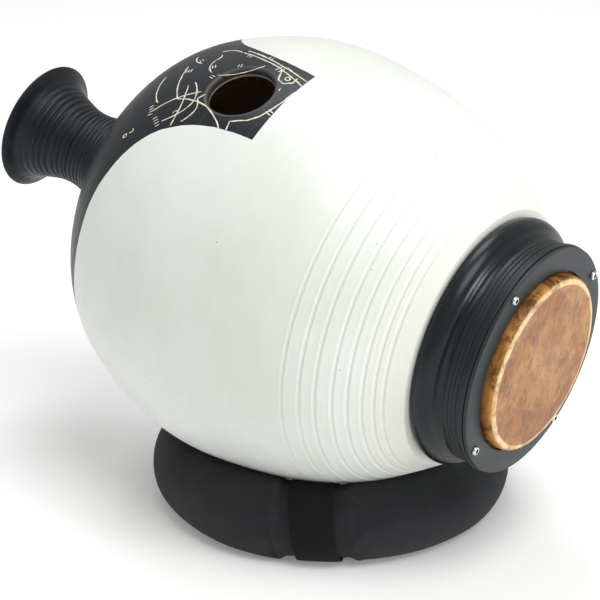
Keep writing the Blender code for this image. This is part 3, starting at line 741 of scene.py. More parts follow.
def build_belly():
    z_outer = belly_rows()
    outer = list(zip(belly_radius(z_outer) + belly_relief(z_outer), z_outer))
    face_z = SHOULDER_Z + SHOULDER_LEDGE
    corners = arc(outer[-1][0] - 1.6 * MM, face_z - 1.2 * MM, 1.2 * MM, 30.0, 90.0, 4)
    spigot = [
        (SPIGOT_R + 0.8 * MM, face_z), (SPIGOT_R, face_z + 0.2 * MM), (SPIGOT_R, SPIGOT_END_Z - 0.8 * MM),
        (SPIGOT_R - 0.8 * MM, SPIGOT_END_Z), (SPIGOT_BORE_R + 0.8 * MM, SPIGOT_END_Z),
        (SPIGOT_BORE_R, SPIGOT_END_Z - 0.8 * MM), (SPIGOT_BORE_R, SHOULDER_Z),
    ]
    low, high = HOLE_Z - HOLE_BLOCK, HOLE_Z + HOLE_BLOCK
    in_patch = z_outer[(z_outer > low - 1e-6) & (z_outer < high + 1e-6)]
    top = np.arange(SHOULDER_Z - 14.0 * MM, high + 2.0 * MM, -INNER_STEP)
    bottom = np.arange(low - INNER_STEP, NECK_MOUTH_Z + 3.0 * MM, -INNER_STEP)
    z_inner = np.concatenate([top, in_patch[::-1], bottom])
    inner = list(zip(inner_radius(z_inner), z_inner))
    inner.append((float(belly_radius(NECK_MOUTH_Z)) - MOUTH_WALL, NECK_MOUTH_Z))
    outline = outer + corners + spigot + inner
    points = lathe_points(outline, BELLY_COLUMNS)
    middle = HOLE_ANGLE / (2.0 * pi) * BELLY_COLUMNS
    half = HOLE_BLOCK / (2.0 * pi * BELLY_R) * BELLY_COLUMNS
    left, right = round(middle - half), round(middle + half)
    first_outer = int(np.searchsorted(z_outer, low - 1e-6))
    outer_rows = list(range(first_outer, first_outer + len(in_patch)))
    first_inner = len(outer) + len(corners) + len(spigot) + len(top)
    inner_rows = list(range(first_inner + len(in_patch) - 1, first_inner - 1, -1))
    faces = []
    for face in ring_faces(len(outline), BELLY_COLUMNS, wrap=True):
        row, column = divmod(face[0], BELLY_COLUMNS)
        in_rows = row in outer_rows[:-1] or row in inner_rows[1:]
        if not (in_rows and left <= column < right):
            faces.append(face)
    # Rings from the outer patch's edge, over the lip, down the bore and out to the inner patch's edge
    loop = patch_loop(outer_rows, left, right)
    inner_loop = patch_loop(inner_rows, left, right)
    count = len(loop)
    rim_index = [row * BELLY_COLUMNS + column for row, column in loop]
    end_index = [row * BELLY_COLUMNS + column for row, column in inner_loop]
    side = hole_frame()[1]
    rim = points[rim_index]
    end = points[end_index]
    a_rim, b_rim = rim @ side, rim[:, 2] - HOLE_Z
    a_end, b_end = end @ side, end[:, 2] - HOLE_Z
    turn = np.arctan2(b_rim, a_rim)
    rings = []
    mouth = HOLE_R + HOLE_LIP
    for t in (0.2, 0.4, 0.58, 0.74, 0.87, 0.95, 1.0):
        a = a_rim + (mouth * np.cos(turn) - a_rim) * t
        b = b_rim + (mouth * np.sin(turn) - b_rim) * t
        rings.append(on_wall(a, b, belly_radius))
    for bend in np.linspace(0.0, 0.5 * pi, 9)[1:]:
        radius = mouth - HOLE_LIP * sin(bend)
        a, b = radius * np.cos(turn), radius * np.sin(turn)
        rings.append(on_wall(a, b, belly_radius, HOLE_LIP * (1.0 - cos(bend))))
    a, b = HOLE_R * np.cos(turn), HOLE_R * np.sin(turn)
    upper = rings[-1]
    lower = on_wall(a, b, inner_radius, -1.0 * MM)
    for t in (0.35, 0.7, 1.0):
        rings.append(upper + (lower - upper) * t)
    for radius, sink in ((HOLE_R + 0.3 * MM, -0.3 * MM), (HOLE_R + 1.0 * MM, 0.0)):
        rings.append(on_wall(radius * np.cos(turn), radius * np.sin(turn), inner_radius, sink))
    for t in (0.3, 0.6, 0.8):
        start = HOLE_R + 1.0 * MM
        a = start * np.cos(turn) + (a_end - start * np.cos(turn)) * t
        b = start * np.sin(turn) + (b_end - start * np.sin(turn)) * t
        rings.append(on_wall(a, b, inner_radius))
    indices = [rim_index]
    total = len(points)
    for ring in rings:
        indices.append(list(range(total, total + count)))
        total += count
    indices.append(end_index)
    for ring, following in zip(indices, indices[1:]):
        for i in range(count):
            j = (i + 1) % count
            faces.append([ring[i], ring[j], following[j], following[i]])
    points = np.concatenate([points] + rings)
    looks = [belly_look(), clay_look()]
    belly = add_piece("belly", points, faces, looks, "drum", ["vessel_body"], sharp=50.0)
    to_drum = DRUM.inverted()
    for polygon in belly.data.polygons:
        centre = to_drum @ polygon.center
        reach = hypot(centre.x, centre.y)
        unglazed = reach < belly_radius(centre.z) - 0.8 * BELLY_WALL and centre.z < SHOULDER_Z - 3.0 * MM
        bare_mouth = centre.z > SHOULDER_Z - 3.0 * MM and reach < SPIGOT_R + 0.5 * MM
        polygon.material_index = 1 if unglazed or bare_mouth else 0
    return belly


# ---------------------------------------------------------------- scratched drawing on the black panel

class Drawing:
    """Collects thin raised ribbons on the belly; u runs across the panel and v along the drum.

    Strokes are given in millimetres from the middle of the sound hole.
    """

    def __init__(self):
        self.points = []
        self.faces = []
        self.random = np.random.default_rng(7)

    def on_belly(self, u, v, lift):
        z = HOLE_Z + v
        radius = float(belly_radius(z)) + lift
        angle = HOLE_ANGLE + u / float(belly_radius(z))
        return radius * cos(angle), radius * sin(angle), z

    def line(self, path, width=1.15):
        """A stroke along (u, v) points."""
        self.stroke(MM * np.array(path, float), width)

    def stroke(self, path, width=1.15, closed=False, shake=0.12):
        """One stroke along a path in metres, with tapered ends and an unsteady hand."""
        width *= MM
        shake *= MM
        if closed:
            path = np.concatenate([path, path[:1]])
        length = np.concatenate([[0.0], np.cumsum(np.hypot(*np.diff(path, axis=0).T))])
        count = max(int(length[-1] / (1.1 * MM)), 3)
        place = np.linspace(0.0, length[-1], count + 1)
        u = np.interp(place, length, path[:, 0])
        v = np.interp(place, length, path[:, 1])
        phase = self.random.uniform(0.0, 2.0 * pi, 4)
        swell = 1.0 + 0.16 * np.sin(place / (2.3 * MM) + phase[0])
        swell += 0.10 * np.sin(place / (0.9 * MM) + phase[1])
        drift = shake * (np.sin(place / (4.0 * MM) + phase[2]) + 0.5 * np.sin(place / (1.7 * MM) + phase[3]))
        if closed:
            u, v, swell, drift, place = u[:-1], v[:-1], swell[:-1], 0.0 * drift[:-1], place[:-1]
            du = np.roll(u, -1) - np.roll(u, 1)
            dv = np.roll(v, -1) - np.roll(v, 1)
        else:
            du, dv = np.gradient(u), np.gradient(v)
            tip = np.minimum(place, length[-1] - place) / (0.5 * width)
            swell = swell * np.clip(0.35 + 0.65 * tip, 0.35, 1.0)
        size = np.hypot(du, dv)
        across_u, across_v = -dv / size, du / size
        rows = []
        for i in range(len(u)):
            row = []
            for side, lift in ((-0.5, -0.08), (-0.42, 0.10), (0.42, 0.10), (0.5, -0.08)):
                offset = side * width * swell[i] + drift[i]
                point = self.on_belly(u[i] + across_u[i] * offset, v[i] + across_v[i] * offset, lift * MM)
                row.append(len(self.points))
                self.points.append(point)
            rows.append(row)
        pairs = list(zip(rows, rows[1:]))
        if closed:
            pairs.append((rows[-1], rows[0]))
        for row, following in pairs:
            for i in range(4):
                j = (i + 1) % 4
                self.faces.append([row[i], row[j], following[j], following[i]])
        if not closed:
            self.faces.append(rows[0][::-1])
            self.faces.append(rows[-1])

    def arc(self, centre, radius, start, end, **style):
        centre = MM * np.array(centre)
        radius *= MM
        steps = max(int(abs(end - start) / 4.0), 4)
        angles = np.radians(np.linspace(start, end, steps + 1))
        closed = abs(end - start) >= 359.9
        if closed:
            angles = angles[:-1]
        path = [(centre[0] + radius * cos(t), centre[1] + radius * sin(t)) for t in angles]
        self.stroke(np.array(path), closed=closed, **style)

    def bow(self, start, end, bulge, **style):
        """A curved stroke from start to end that swings out by bulge at its middle."""
        start, end = MM * np.array(start), MM * np.array(end)
        way = end - start
        swing = np.array((-way[1], way[0])) / hypot(*way) * (bulge * MM)
        path = [start + way * t + swing * 4.0 * t * (1.0 - t) for t in np.linspace(0.0, 1.0, 17)]
        self.stroke(np.array(path), **style)

    def dashes(self, centre, along, gap, count=2):
        """Short parallel strokes side by side."""
        along = MM * np.array(along)
        normal = np.array((-along[1], along[0])) / hypot(*along)
        for i in range(count):
            middle = MM * np.array(centre) + normal * (gap * MM) * (i - 0.5 * (count - 1))
            self.stroke(np.array([middle - 0.5 * along, middle + 0.5 * along]), DASH, shake=0.0)

    def ladder(self, start, end, rungs, length):
        """Rungs across the way from start to end."""
        start, end = MM * np.array(start), MM * np.array(end)
        way = (end - start) / hypot(*(end - start))
        half = np.array((-way[1], way[0])) * 0.5 * (length * MM)
        for t in np.linspace(0.0, 1.0, rungs):
            middle = start + (end - start) * t
            self.stroke(np.array([middle - half, middle + half]), THIN, shake=0.0)


def build_drawing():
    pen = Drawing()
    # Double border along the far side, with rungs and bars between its lines
    pen.line([(-43.0, -32.0), (-34.6, 10.0), (-25.5, 38.0)])
    pen.line([(-47.0, -31.0), (-38.2, 8.0), (-32.0, 37.5)])
    for v in (-24.0, -6.0, 24.0):
        pen.ladder((-43.6 - 0.16 * v, v), (-42.8 - 0.16 * v, v + 3.0), 2, 4.2)
    pen.line([(-45.2, -20.0), (-42.6, -9.0)], width=THIN)
    pen.line([(-38.0, 15.0), (-35.6, 22.0)], width=THIN)
    pen.ladder((-33.5, 10.5), (-32.4, 13.8), 2, 6.5)
    # Corner box with a small ring
    pen.line([(-33.5, 13.5), (-22.0, 19.0), (-19.5, 25.0), (-24.5, 30.5), (-31.0, 29.5)])
    pen.arc((-26.3, 24.2), 2.0, 0.0, 360.0, width=THIN)
    pen.dashes((-13.0, 27.0), (3.6, 1.0), 2.0, 1)
    # Near border: it runs round the hole's front, then turns out to the edge
    pen.line([(-17.0, 38.0), (-4.0, 37.0), (9.0, 34.0), (17.0, 30.5),
              (24.0, 24.5), (30.5, 13.0)])
    pen.line([(30.5, 13.0), (38.5, 15.5)])
    pen.ladder((8.6, 35.4), (11.4, 34.6), 2, 5.4)
    # One long sweep down the near side and across the neck end
    pen.bow((39.0, 9.0), (22.0, -46.0), -7.0)
    pen.bow((22.0, -46.0), (-17.0, -68.0), 3.0)
    # Rings and bows that cross it
    pen.bow((36.0, -63.0), (12.0, -29.0), 3.0)
    pen.bow((3.0, -43.0), (44.0, -45.0), 15.0)
    pen.bow((7.0, -47.0), (47.0, -33.5), 2.5)
    pen.bow((19.0, -27.5), (42.0, -26.5), 6.0)
    pen.line([(19.0, -27.5), (13.5, -23.5)])
    pen.bow((-4.0, -81.0), (27.0, -63.0), -4.0)
    pen.bow((-27.0, -47.5), (-10.5, -37.0), -3.5)
    pen.bow((-42.0, -54.0), (-43.0, -33.0), 3.0)
    pen.bow((-36.5, -49.0), (-27.0, -47.5), 1.5)
    pen.bow((-33.0, -72.0), (-22.0, -58.0), -3.0)
    pen.bow((-8.0, -30.0), (-31.5, -1.0), -5.5, width=0.8)
    pen.arc((35.0, -37.5), 2.1, 30.0, 300.0, width=THIN)
    # Combs of short strokes, pairs of dashes, and two small rings
    pen.ladder((30.5, -66.5), (38.5, -62.0), 4, 4.4)
    pen.ladder((41.5, -54.0), (48.0, -46.5), 4, 4.4)
    pen.dashes((-24.0, -19.7), (4.2, 1.4), 2.3)
    pen.dashes((-5.5, -32.5), (1.6, 4.6), 2.3)
    pen.dashes((-18.0, -41.5), (4.0, 3.0), 2.3)
    pen.dashes((-10.5, -62.0), (4.4, 1.4), 2.3, 3)
    pen.dashes((-26.0, -62.0), (2.0, 3.4), 2.2)
    pen.arc((58.0, -75.0), 1.7, 0.0, 360.0, width=THIN)
    pen.arc((53.5, -71.0), 1.8, -40.0, 190.0, width=THIN)
    look = slip_line_look()
    return add_piece("panel_lines", pen.points, pen.faces, [look], "drum", (), sharp=40.0)


# ---------------------------------------------------------------- neck

def neck_ring(station):
    """Centre and directions of one cross-section of the neck."""
    mix = (station - NECK_START) / (NECK_BEND_END - NECK_START)
    mix = min(max(mix, 0.0), 1.0)
    mix = mix * mix * (3.0 - 2.0 * mix)
    along = Vector((sin(NECK_UP), sin(NECK_SIDE), -cos(NECK_UP) * cos(NECK_SIDE))).normalized()
    on_line = Vector((NECK_LINE_UP, NECK_LINE_SIDE, NECK_LINE_Z)) + along * station
    on_axis = Vector((0.0, 0.0, NECK_MOUTH_Z - GAP - (station - NECK_START)))
    centre = on_axis.lerp(on_line, mix)
    normal = Vector((0.0, 0.0, -1.0)).lerp(along, mix).normalized()
    across = (Vector((1.0, 0.0, 0.0)) - normal * normal.x).normalized()
    return centre, across, normal.cross(across)


def neck_radius(station):
    """Outer radius of the neck: a smooth line through its outline."""
    places = np.array([place for place, _ in NECK_OUTLINE]) * BELLY_R
    radii = np.array([radius for _, radius in NECK_OUTLINE]) * BELLY_R
    slopes = np.gradient(radii, places)
    i = int(np.clip(np.searchsorted(places, station) - 1, 0, len(places) - 2))
    step = places[i + 1] - places[i]
    t = (station - places[i]) / step
    value = (2 * t ** 3 - 3 * t ** 2 + 1) * radii[i] + (3 * t ** 2 - 2 * t ** 3) * radii[i + 1]
    return value + step * ((t ** 3 - 2 * t ** 2 + t) * slopes[i] + (t ** 3 - t ** 2) * slopes[i + 1])


def rib_relief(station, random_pitch):
    """Rounded ridges between narrow furrows, not quite evenly spaced."""
    if not RIB_FROM < station < RIB_TO:
        return 0.0
    share = (station - RIB_FROM) / (RIB_TO - RIB_FROM)
    phase = np.interp(share, random_pitch, np.arange(len(random_pitch)))
    furrow = 0.5 + 0.5 * cos(2.0 * pi * phase)
    fade = min(1.0, 6.0 * share, 5.0 * (1.0 - share))
    return -RIB_DEPTH * fade * furrow ** 2.2


def build_neck():
    random = np.random.default_rng(3)
    pitch = np.cumsum(np.concatenate([[0.0], 1.0 + 0.16 * random.standard_normal(RIB_COUNT).clip(-1.4, 1.4)]))
    pitch /= pitch[-1]
    end = NECK_OUTLINE[-1][0] * BELLY_R
    stations = np.arange(NECK_START, end, NECK_STEP)
    outline = [(u, neck_radius(u) + rib_relief(u, pitch)) for u in stations]
    centre_r = neck_radius(end) - NECK_LIP
    outline += [(end + NECK_LIP * sin(t), centre_r + NECK_LIP * cos(t)) for t in np.linspace(0.0, pi, 15)]
    inside = np.arange(0.422 * BELLY_R, NECK_START, -2.2 * MM)
    outline += [(u, neck_radius(u) - NECK_WALL) for u in inside]
    outline.append((NECK_START, neck_radius(NECK_START) - NECK_WALL))
    angles = np.linspace(0.0, 2.0 * pi, NECK_COLUMNS, endpoint=False)
    points = []
    for station, radius in outline:
        centre, across, up = [np.array(v) for v in neck_ring(station)]
        points.append(centre + radius * (np.cos(angles)[:, None] * across + np.sin(angles)[:, None] * up))
    faces = ring_faces(len(outline), NECK_COLUMNS, wrap=True)
    points = np.concatenate(points)
    return add_piece("neck_shell", points, faces, [neck_look()], "drum", ["neck"], sharp=60.0)


# ---------------------------------------------------------------- head

def build_head():
    rear = SHOULDER_Z + SHOULDER_LEDGE + GAP
    front = BASE_REAR_Z - GAP
    inner_r = SPIGOT_R + 2.0 * GAP
    bead_centre = BEAD_R - BEAD_ROUND
    reach = (BEAD_ROUND ** 2 - (BEAD_Z - rear) ** 2) ** 0.5
    start = np.degrees(atan2(rear - BEAD_Z, reach))
    outline = [(inner_r + 0.5 * MM, rear), (bead_centre + reach - 0.8 * MM, rear)]
    outline += arc(bead_centre, BEAD_Z, BEAD_ROUND, start + 3.0, 60.0, 22)
    last = outline[-1]
    middle = (COVE_R + 0.35 * COVE_FLARE, COVE_REAR_Z - 1.2 * MM)
    for t in np.linspace(0.0, 1.0, 9)[1:]:
        r = (1 - t) ** 2 * last[0] + 2 * t * (1 - t) * middle[0] + t * t * (COVE_R + 0.2 * COVE_FLARE)
        z = (1 - t) ** 2 * last[1] + 2 * t * (1 - t) * middle[1] + t * t * COVE_FRONT_Z
        outline.append((r, z))
    outline += [(COVE_R, front - 0.3 * MM), (COVE_R - 0.4 * MM, front), (inner_r + 0.4 * MM, front)]
    outline += [(inner_r, front - 0.4 * MM), (inner_r, rear + 0.5 * MM)]
    lacquer = black_wood_look(
        "collar_lacquer", (0.0060, 0.0068, 0.0080), (0.012, 0.0135, 0.0155), 0.25, 0.22, 0.34, 0.04 * MM,
    )
    add_turned("collar", outline, [lacquer], "drum", ["collar_ring"])

    hoop_wood = black_wood_look(
        "hoop_wood", (0.0070, 0.0076, 0.0086), (0.017, 0.0185, 0.0205), 0.6, 0.34, 0.50,
    )
    plies = []
    for z in PLY_LINES:
        plies += [
            (BASE_R, z - PLY_HALF), (BASE_R - PLY_DEPTH, z - 0.4 * PLY_HALF),
            (BASE_R - PLY_DEPTH, z + 0.4 * PLY_HALF), (BASE_R, z + PLY_HALF),
        ]
    base = rounded([
        (BASE_BORE_R, BASE_REAR_Z), (BASE_R, BASE_REAR_Z), *plies, (BASE_R, BASE_FRONT_Z),
        (CHANNEL_OUTER_R, BASE_FRONT_Z), (CHANNEL_OUTER_R, CHANNEL_FLOOR_Z),
        (CHANNEL_INNER_R, CHANNEL_FLOOR_Z), (CHANNEL_INNER_R, BASE_FRONT_Z), (BASE_BORE_R, BASE_FRONT_Z),
    ], 0.9 * MM)
    hoop = add_turned("base_hoop_wood", base, [hoop_wood], "drum", ["base_hoop"])
    drill(hoop, POCKET_R, POCKET_FLOOR_Z, BASE_FRONT_Z + 3.0 * MM)

    low = BASE_FRONT_Z + GAP
    spacer = rounded(box(CHANNEL_OUTER_R, SPACER_R, low, SPACER_FRONT_Z), 0.7 * MM)
    ring = add_turned("spacer_hoop_wood", spacer, [hoop_wood], "drum", ["spacer_hoop"])
    drill(ring, SCREW_HOLE_R, low - 3.0 * MM, SPACER_FRONT_Z + 3.0 * MM)

    clamp_paint = black_wood_look(
        "clamp_paint", (0.016, 0.021, 0.024), (0.030, 0.038, 0.042), 0.25, 0.38, 0.52,
    )
    clamp = rounded(box(CLAMP_BORE_R, CLAMP_R, CLAMP_REAR_Z, CLAMP_FRONT_Z), 0.65 * MM)
    plate = add_turned("clamp_plate", clamp, [clamp_paint], "clamp", ["clamp_ring"])
    drill(plate, SCREW_HOLE_R, CLAMP_REAR_Z - 3.0 * MM, CLAMP_FRONT_Z + 3.0 * MM)


def build_skin():
    """The skin with its rounded edge, a slightly puckered skirt and the turned-out flange."""
    inner_r = BEARING_R + GAP
    outer_r = inner_r + SKIN_THICK
    flange_r = CHANNEL_OUTER_R - 2.0 * GAP
    flange_top = CLAMP_REAR_Z - GAP
    flange_low = flange_top - SKIN_THICK
    low_top = SKIN_TOP_Z - SKIN_THICK
    inner_round = SKIN_EDGE_ROUND - SKIN_THICK
    bend = 1.2 * MM
    outline = [(0.0, SKIN_TOP_Z)]
    outline += [(r, SKIN_TOP_Z) for r in np.linspace(0.0, outer_r - SKIN_EDGE_ROUND, 14)[1:-1]]
    outline += arc(outer_r - SKIN_EDGE_ROUND, SKIN_TOP_Z - SKIN_EDGE_ROUND, SKIN_EDGE_ROUND, 90.0, 0.0, 12)
    outline += [(outer_r, z) for z in np.linspace(SKIN_TOP_Z - SKIN_EDGE_ROUND, flange_top + bend, 6)[1:]]
    outline += arc(outer_r + bend, flange_top + bend, bend, 180.0, 270.0, 5)[1:]
    outline += [(flange_r, flange_top), (flange_r, flange_low), (inner_r, flange_low)]
    outline += arc(inner_r - inner_round, low_top - inner_round, inner_round, 0.0, 90.0, 8)
    outline += [(0.5 * inner_r, low_top), (0.0, low_top)]
    points = lathe_points(outline, HEAD_COLUMNS)
    angle = np.arctan2(points[:, 1], points[:, 0])
    reach = np.hypot(points[:, 0], points[:, 1])
    skirt = np.clip((reach - (BEARING_R - 1.5 * MM)) / (1.5 * MM), 0.0, 1.0)
    skirt *= np.clip((points[:, 2] - flange_top - 0.3 * MM) / (2.5 * MM), 0.0, 1.0)
    skirt *= np.clip((SKIN_TOP_Z - 0.5 * MM - points[:, 2]) / (3.0 * MM), 0.0, 1.0)
    pleat = 0.5 + 0.5 * np.sin(PLEATS * angle + 1.3 * np.sin(5.0 * angle))
    pleat *= 0.6 + 0.4 * np.sin(7.0 * angle + 0.8)
    swell = 1.0 + PLEAT_DEPTH * pleat * skirt / np.maximum(reach, 10.0 * MM)
    points[:, 0] *= swell
    points[:, 1] *= swell
    faces = ring_faces(len(outline), HEAD_COLUMNS)
    add_piece("skin", points, faces, [skin_look()], "drum", ["skin_head"], sharp=50.0)


def screw_shape():
    """Points and faces of a button-head screw with a hex socket; z = 0 is under its head."""
    sides = 48
    head = [(SCREW_HEAD_R, 0.12 * MM), (SCREW_HEAD_R, 0.42 * SCREW_HEAD_HEIGHT)]
    for t in np.linspace(0.0, 1.0, 8)[1:]:
        rise = 0.42 + 0.58 * sin(0.5 * pi * t)
        head.append((SCREW_HEAD_R * (1.0 - 0.36 * t ** 1.5), SCREW_HEAD_HEIGHT * rise))
    tip = 0.3 * MM
    outline = [(0.0, -SCREW_LENGTH), (SCREW_SHANK_R - tip, -SCREW_LENGTH)]
    outline.append((SCREW_SHANK_R, -SCREW_LENGTH + tip))
    for z in np.arange(-SCREW_LENGTH + 1.0 * MM, -6.0 * MM, SCREW_PITCH):
        outline += [(SCREW_SHANK_R, z), (SCREW_SHANK_R - THREAD_DEPTH, z + 0.5 * SCREW_PITCH)]
    outline += [(SCREW_SHANK_R, -5.5 * MM), (SCREW_SHANK_R, 0.0), (SCREW_HEAD_R - 0.15 * MM, 0.0)] + head
    turns = np.linspace(0.0, 2.0 * pi, sides, endpoint=False)
    rows = [[(radius * cos(t), radius * sin(t), z) for t in turns] for radius, z in outline]
    socket = ((1.08, 0.0), (1.0, SOCKET_CHAMFER), (1.0, SOCKET_DEPTH))
    for scale, sink in socket:
        z = SCREW_HEAD_HEIGHT - sink
        row = []
        for t in turns:
            within = (t + pi / 6.0) % (pi / 3.0) - pi / 6.0
            radius = scale * SOCKET_R * cos(pi / 6.0) / cos(within)
            row.append((radius * cos(t), radius * sin(t), z))
        rows.append(row)
    rows.append([(0.0, 0.0, SCREW_HEAD_HEIGHT - SOCKET_DEPTH)] * sides)
    return np.array(rows).reshape(-1, 3), ring_faces(len(rows), sides)


def build_screws():
    points, faces = screw_shape()
    steel = metal_look("screw_steel", (0.78, 0.77, 0.74), 0.24)
    # Painted shade: the hex sockets get a near-black steel so they read dark inside
    socket = metal_look("socket_painted_shade", (0.05, 0.048, 0.045), 0.45)
    for number, x, y in screw_places():
        place = DRUM @ Matrix.Translation((x, y, CLAMP_FRONT_Z + GAP))
        screw = add_piece(
            f"screw_{number}", points, faces, [steel, socket], f"screw_{number}", [f"clamp_screw_{number}"],
            place, 30.0,
        )
        for polygon in screw.data.polygons:
            centre = place.inverted() @ polygon.center
            in_socket = hypot(centre.x, centre.y) < 1.01 * SOCKET_R and centre.z > 0.0
            polygon.material_index = 1 if in_socket and centre.z < SCREW_HEAD_HEIGHT - 0.1 * MM else 0


# ---------------------------------------------------------------- ring cushion

def signed_power(value, exponent):
    return np.sign(value) * np.abs(value) ** exponent


def clear_of_belly(points, clearance):
    """Pushes world points out of the belly, away from the drum's axis."""
    inverse = np.array(DRUM.inverted())
    local = points @ inverse[:3, :3].T + inverse[:3, 3]
    reach = np.hypot(local[:, 0], local[:, 1])
    wanted = belly_radius(local[:, 2]) + clearance
    scale = np.where(reach < wanted, wanted / reach, 1.0)
    local[:, 0] *= scale
    local[:, 1] *= scale
    turn = np.array(DRUM)
    return local @ turn[:3, :3].T + turn[:3, 3]


def strap_distance(angle, around):
    """Distance from the strap's middle line, which leans along the tube."""
    turn = (angle - STRAP_ANGLE + pi) % (2.0 * pi) - pi
    return np.abs(turn * (RING_R + TUBE_HALF_WIDTH * np.cos(around)) + STRAP_LEAN * np.sin(around))


def strap_pinch(across):
    """How far the strap pulls the tube in, at a distance from the strap's middle line."""
    fade = np.clip((across - 0.5 * STRAP_WIDTH - STRAP_MARGIN) / STRAP_FADE, 0.0, 1.0)
    return (STRAP_THICK + STRAP_CLEARANCE) * (1.0 - fade * fade * (3.0 - 2.0 * fade))


def tube_points(angle, around, depth):
    """World points of the cushion's tube, depth below its surface."""
    turn = (angle - STRAP_ANGLE + pi) % (2.0 * pi) - pi
    depth = depth - SEAT_SWELL * np.exp(-(turn / 0.75) ** 2) * np.clip(np.sin(around), 0.0, 1.0) ** 2
    out = (TUBE_HALF_WIDTH - depth) * signed_power(np.cos(around), TUBE_EXPONENT)
    up = (TUBE_HALF_HEIGHT - depth) * signed_power(np.sin(around), TUBE_EXPONENT)
    up = np.maximum(up, depth - RING_Z)
    radius = RING_R + out
    return np.stack([
        RING_X + radius * np.cos(angle), RING_Y + radius * np.sin(angle), RING_Z + up,
    ], -1)


def press_cloth(cover, pinned):
    """A short pressure simulation: the cover fills out, and is held under the strap."""
    rest = np.empty(len(cover.data.vertices) * 3)
    cover.data.vertices.foreach_get("co", rest)
    rest = rest.reshape(-1, 3)
    group = cover.vertex_groups.new(name="held")
    group.add([int(i) for i in np.flatnonzero(pinned)], 1.0, "REPLACE")
    cloth = cover.modifiers.new("cloth", "CLOTH")
    settings = cloth.settings
    settings.quality = 6
    settings.mass = 0.25
    settings.tension_stiffness = 12.0
    settings.compression_stiffness = 12.0
    settings.bending_stiffness = 0.4
    settings.use_pressure = True
    settings.uniform_pressure_force = 4.0
    settings.shrink_min = -0.02
    settings.vertex_group_mass = "held"
    settings.effector_weights.gravity = 0.0
    cloth.point_cache.frame_start = 1
    cloth.point_cache.frame_end = CLOTH_FRAMES
    for number in range(1, CLOTH_FRAMES + 1):
        bpy.context.scene.frame_set(number)
    depsgraph = bpy.context.evaluated_depsgraph_get()
    result = cover.evaluated_get(depsgraph).to_mesh()
    moved = np.empty(len(result.vertices) * 3)
    result.vertices.foreach_get("co", moved)
    moved = moved.reshape(-1, 3)
    cover.modifiers.clear()
    cover.vertex_groups.clear()
    bpy.context.scene.frame_set(1)
    way = moved - rest
    size = np.linalg.norm(way, axis=1)
    way *= np.minimum(1.0, CLOTH_REACH / np.maximum(size, 1e-9))[:, None]
    cover.data.vertices.foreach_set("co", (rest + way).ravel())
    cover.data.update()


def build_cushion():
    angle, around = np.meshgrid(
        STRAP_ANGLE + np.linspace(0.0, 2.0 * pi, CUSHION_ALONG, endpoint=False),
        np.linspace(0.0, 2.0 * pi, CUSHION_AROUND, endpoint=False), indexing="ij",
    )
    angle, around = angle.ravel(), around.ravel()
    across = strap_distance(angle, around)
    depth = strap_pinch(across)
    near = np.exp(-((across - 0.5 * STRAP_WIDTH - 6.0 * MM) / (9.0 * MM)) ** 2)
    depth = depth + PUCKER_DEPTH * near * (0.5 + 0.5 * np.sin(15.0 * around + 0.7 * np.sin(4.0 * around)))
    free = np.clip((across - 0.5 * STRAP_WIDTH - STRAP_MARGIN) / (20.0 * MM), 0.0, 1.0)
    waves = np.sin(3.0 * angle + 0.6) + 0.7 * np.sin(5.0 * angle + 2.1)
    waves += 0.4 * np.sin(11.0 * angle + 1.3 + around)
    depth = depth - WAVE_HEIGHT * free * waves
    seam = np.exp(-(((around - SEAM_AT) * TUBE_HALF_WIDTH) / SEAM_WIDTH) ** 2)
    depth = depth + SEAM_DEPTH * seam
    points = clear_of_belly(tube_points(angle, around, depth), SEAT_GAP)
    faces = ring_faces(CUSHION_ALONG, CUSHION_AROUND, wrap=True)
    fabric = fabric_look(
        "cushion_fabric", (0.0085, 0.0088, 0.0112), (0.0180, 0.0184, 0.0215), 1.1 * MM, 900.0, 0.08,
    )
    cover = add_piece(
        "cushion", points, faces, [fabric], "cushion", ["cushion_cover"], WORLD, 80.0,
    )
    press_cloth(cover, across < 0.5 * STRAP_WIDTH + STRAP_MARGIN)
    divide = cover.modifiers.new("divide", "SUBSURF")
    divide.levels = 1
    divide.render_levels = 1
    bake_modifiers(cover, 80.0)
    co = np.empty(len(cover.data.vertices) * 3)
    cover.data.vertices.foreach_get("co", co)
    co = clear_of_belly(co.reshape(-1, 3), SEAT_GAP)
    co[:, 2] = np.maximum(co[:, 2], 0.0)
    cover.data.vertices.foreach_set("co", co.ravel())
    cover.data.update()
    return cover


def build_strap():
    """A hook-and-loop band of constant width round the tube, with rounded edges."""
    half = 0.5 * STRAP_WIDTH
    edge = 0.5 * STRAP_THICK
    section = rounded(box(-half, half, STRAP_TOP, STRAP_THICK), edge, 5)
    wide = []
    for (a, d), (a2, d2) in zip(section, section[1:] + section[:1]):
        parts = max(int(abs(a2 - a) / STRAP_STEP), 1)
        wide += [(a + (a2 - a) * k / parts, d + (d2 - d) * k / parts) for k in range(parts)]
    around = np.linspace(0.0, 2.0 * pi, STRAP_COLUMNS, endpoint=False)
    rows = []
    for across, depth in wide:
        radius = RING_R + TUBE_HALF_WIDTH * np.cos(around)
        angle = STRAP_ANGLE + np.arcsin((across - STRAP_LEAN * np.sin(around)) / radius)
        ripple = STRAP_RIPPLE * np.sin(9.0 * around) * (abs(across) / half) ** 2
        rows.append(clear_of_belly(tube_points(angle, around, depth + ripple), SEAT_GAP + depth))
    points = np.concatenate(rows)
    points[:, 2] = np.maximum(points[:, 2], 0.0)
    faces = ring_faces(len(wide), len(around), wrap=True)
    webbing = fabric_look(
        "strap_webbing", (0.0018, 0.0018, 0.0021), (0.0040, 0.0040, 0.0046), 1.6 * MM, 1400.0, 0.02,
    )
    return add_piece(
        "strap", points, faces, [webbing], "cushion", ["closure_strap"], WORLD, 60.0,
    )


# ---------------------------------------------------------------- hidden CAD pieces, floor, camera, lights

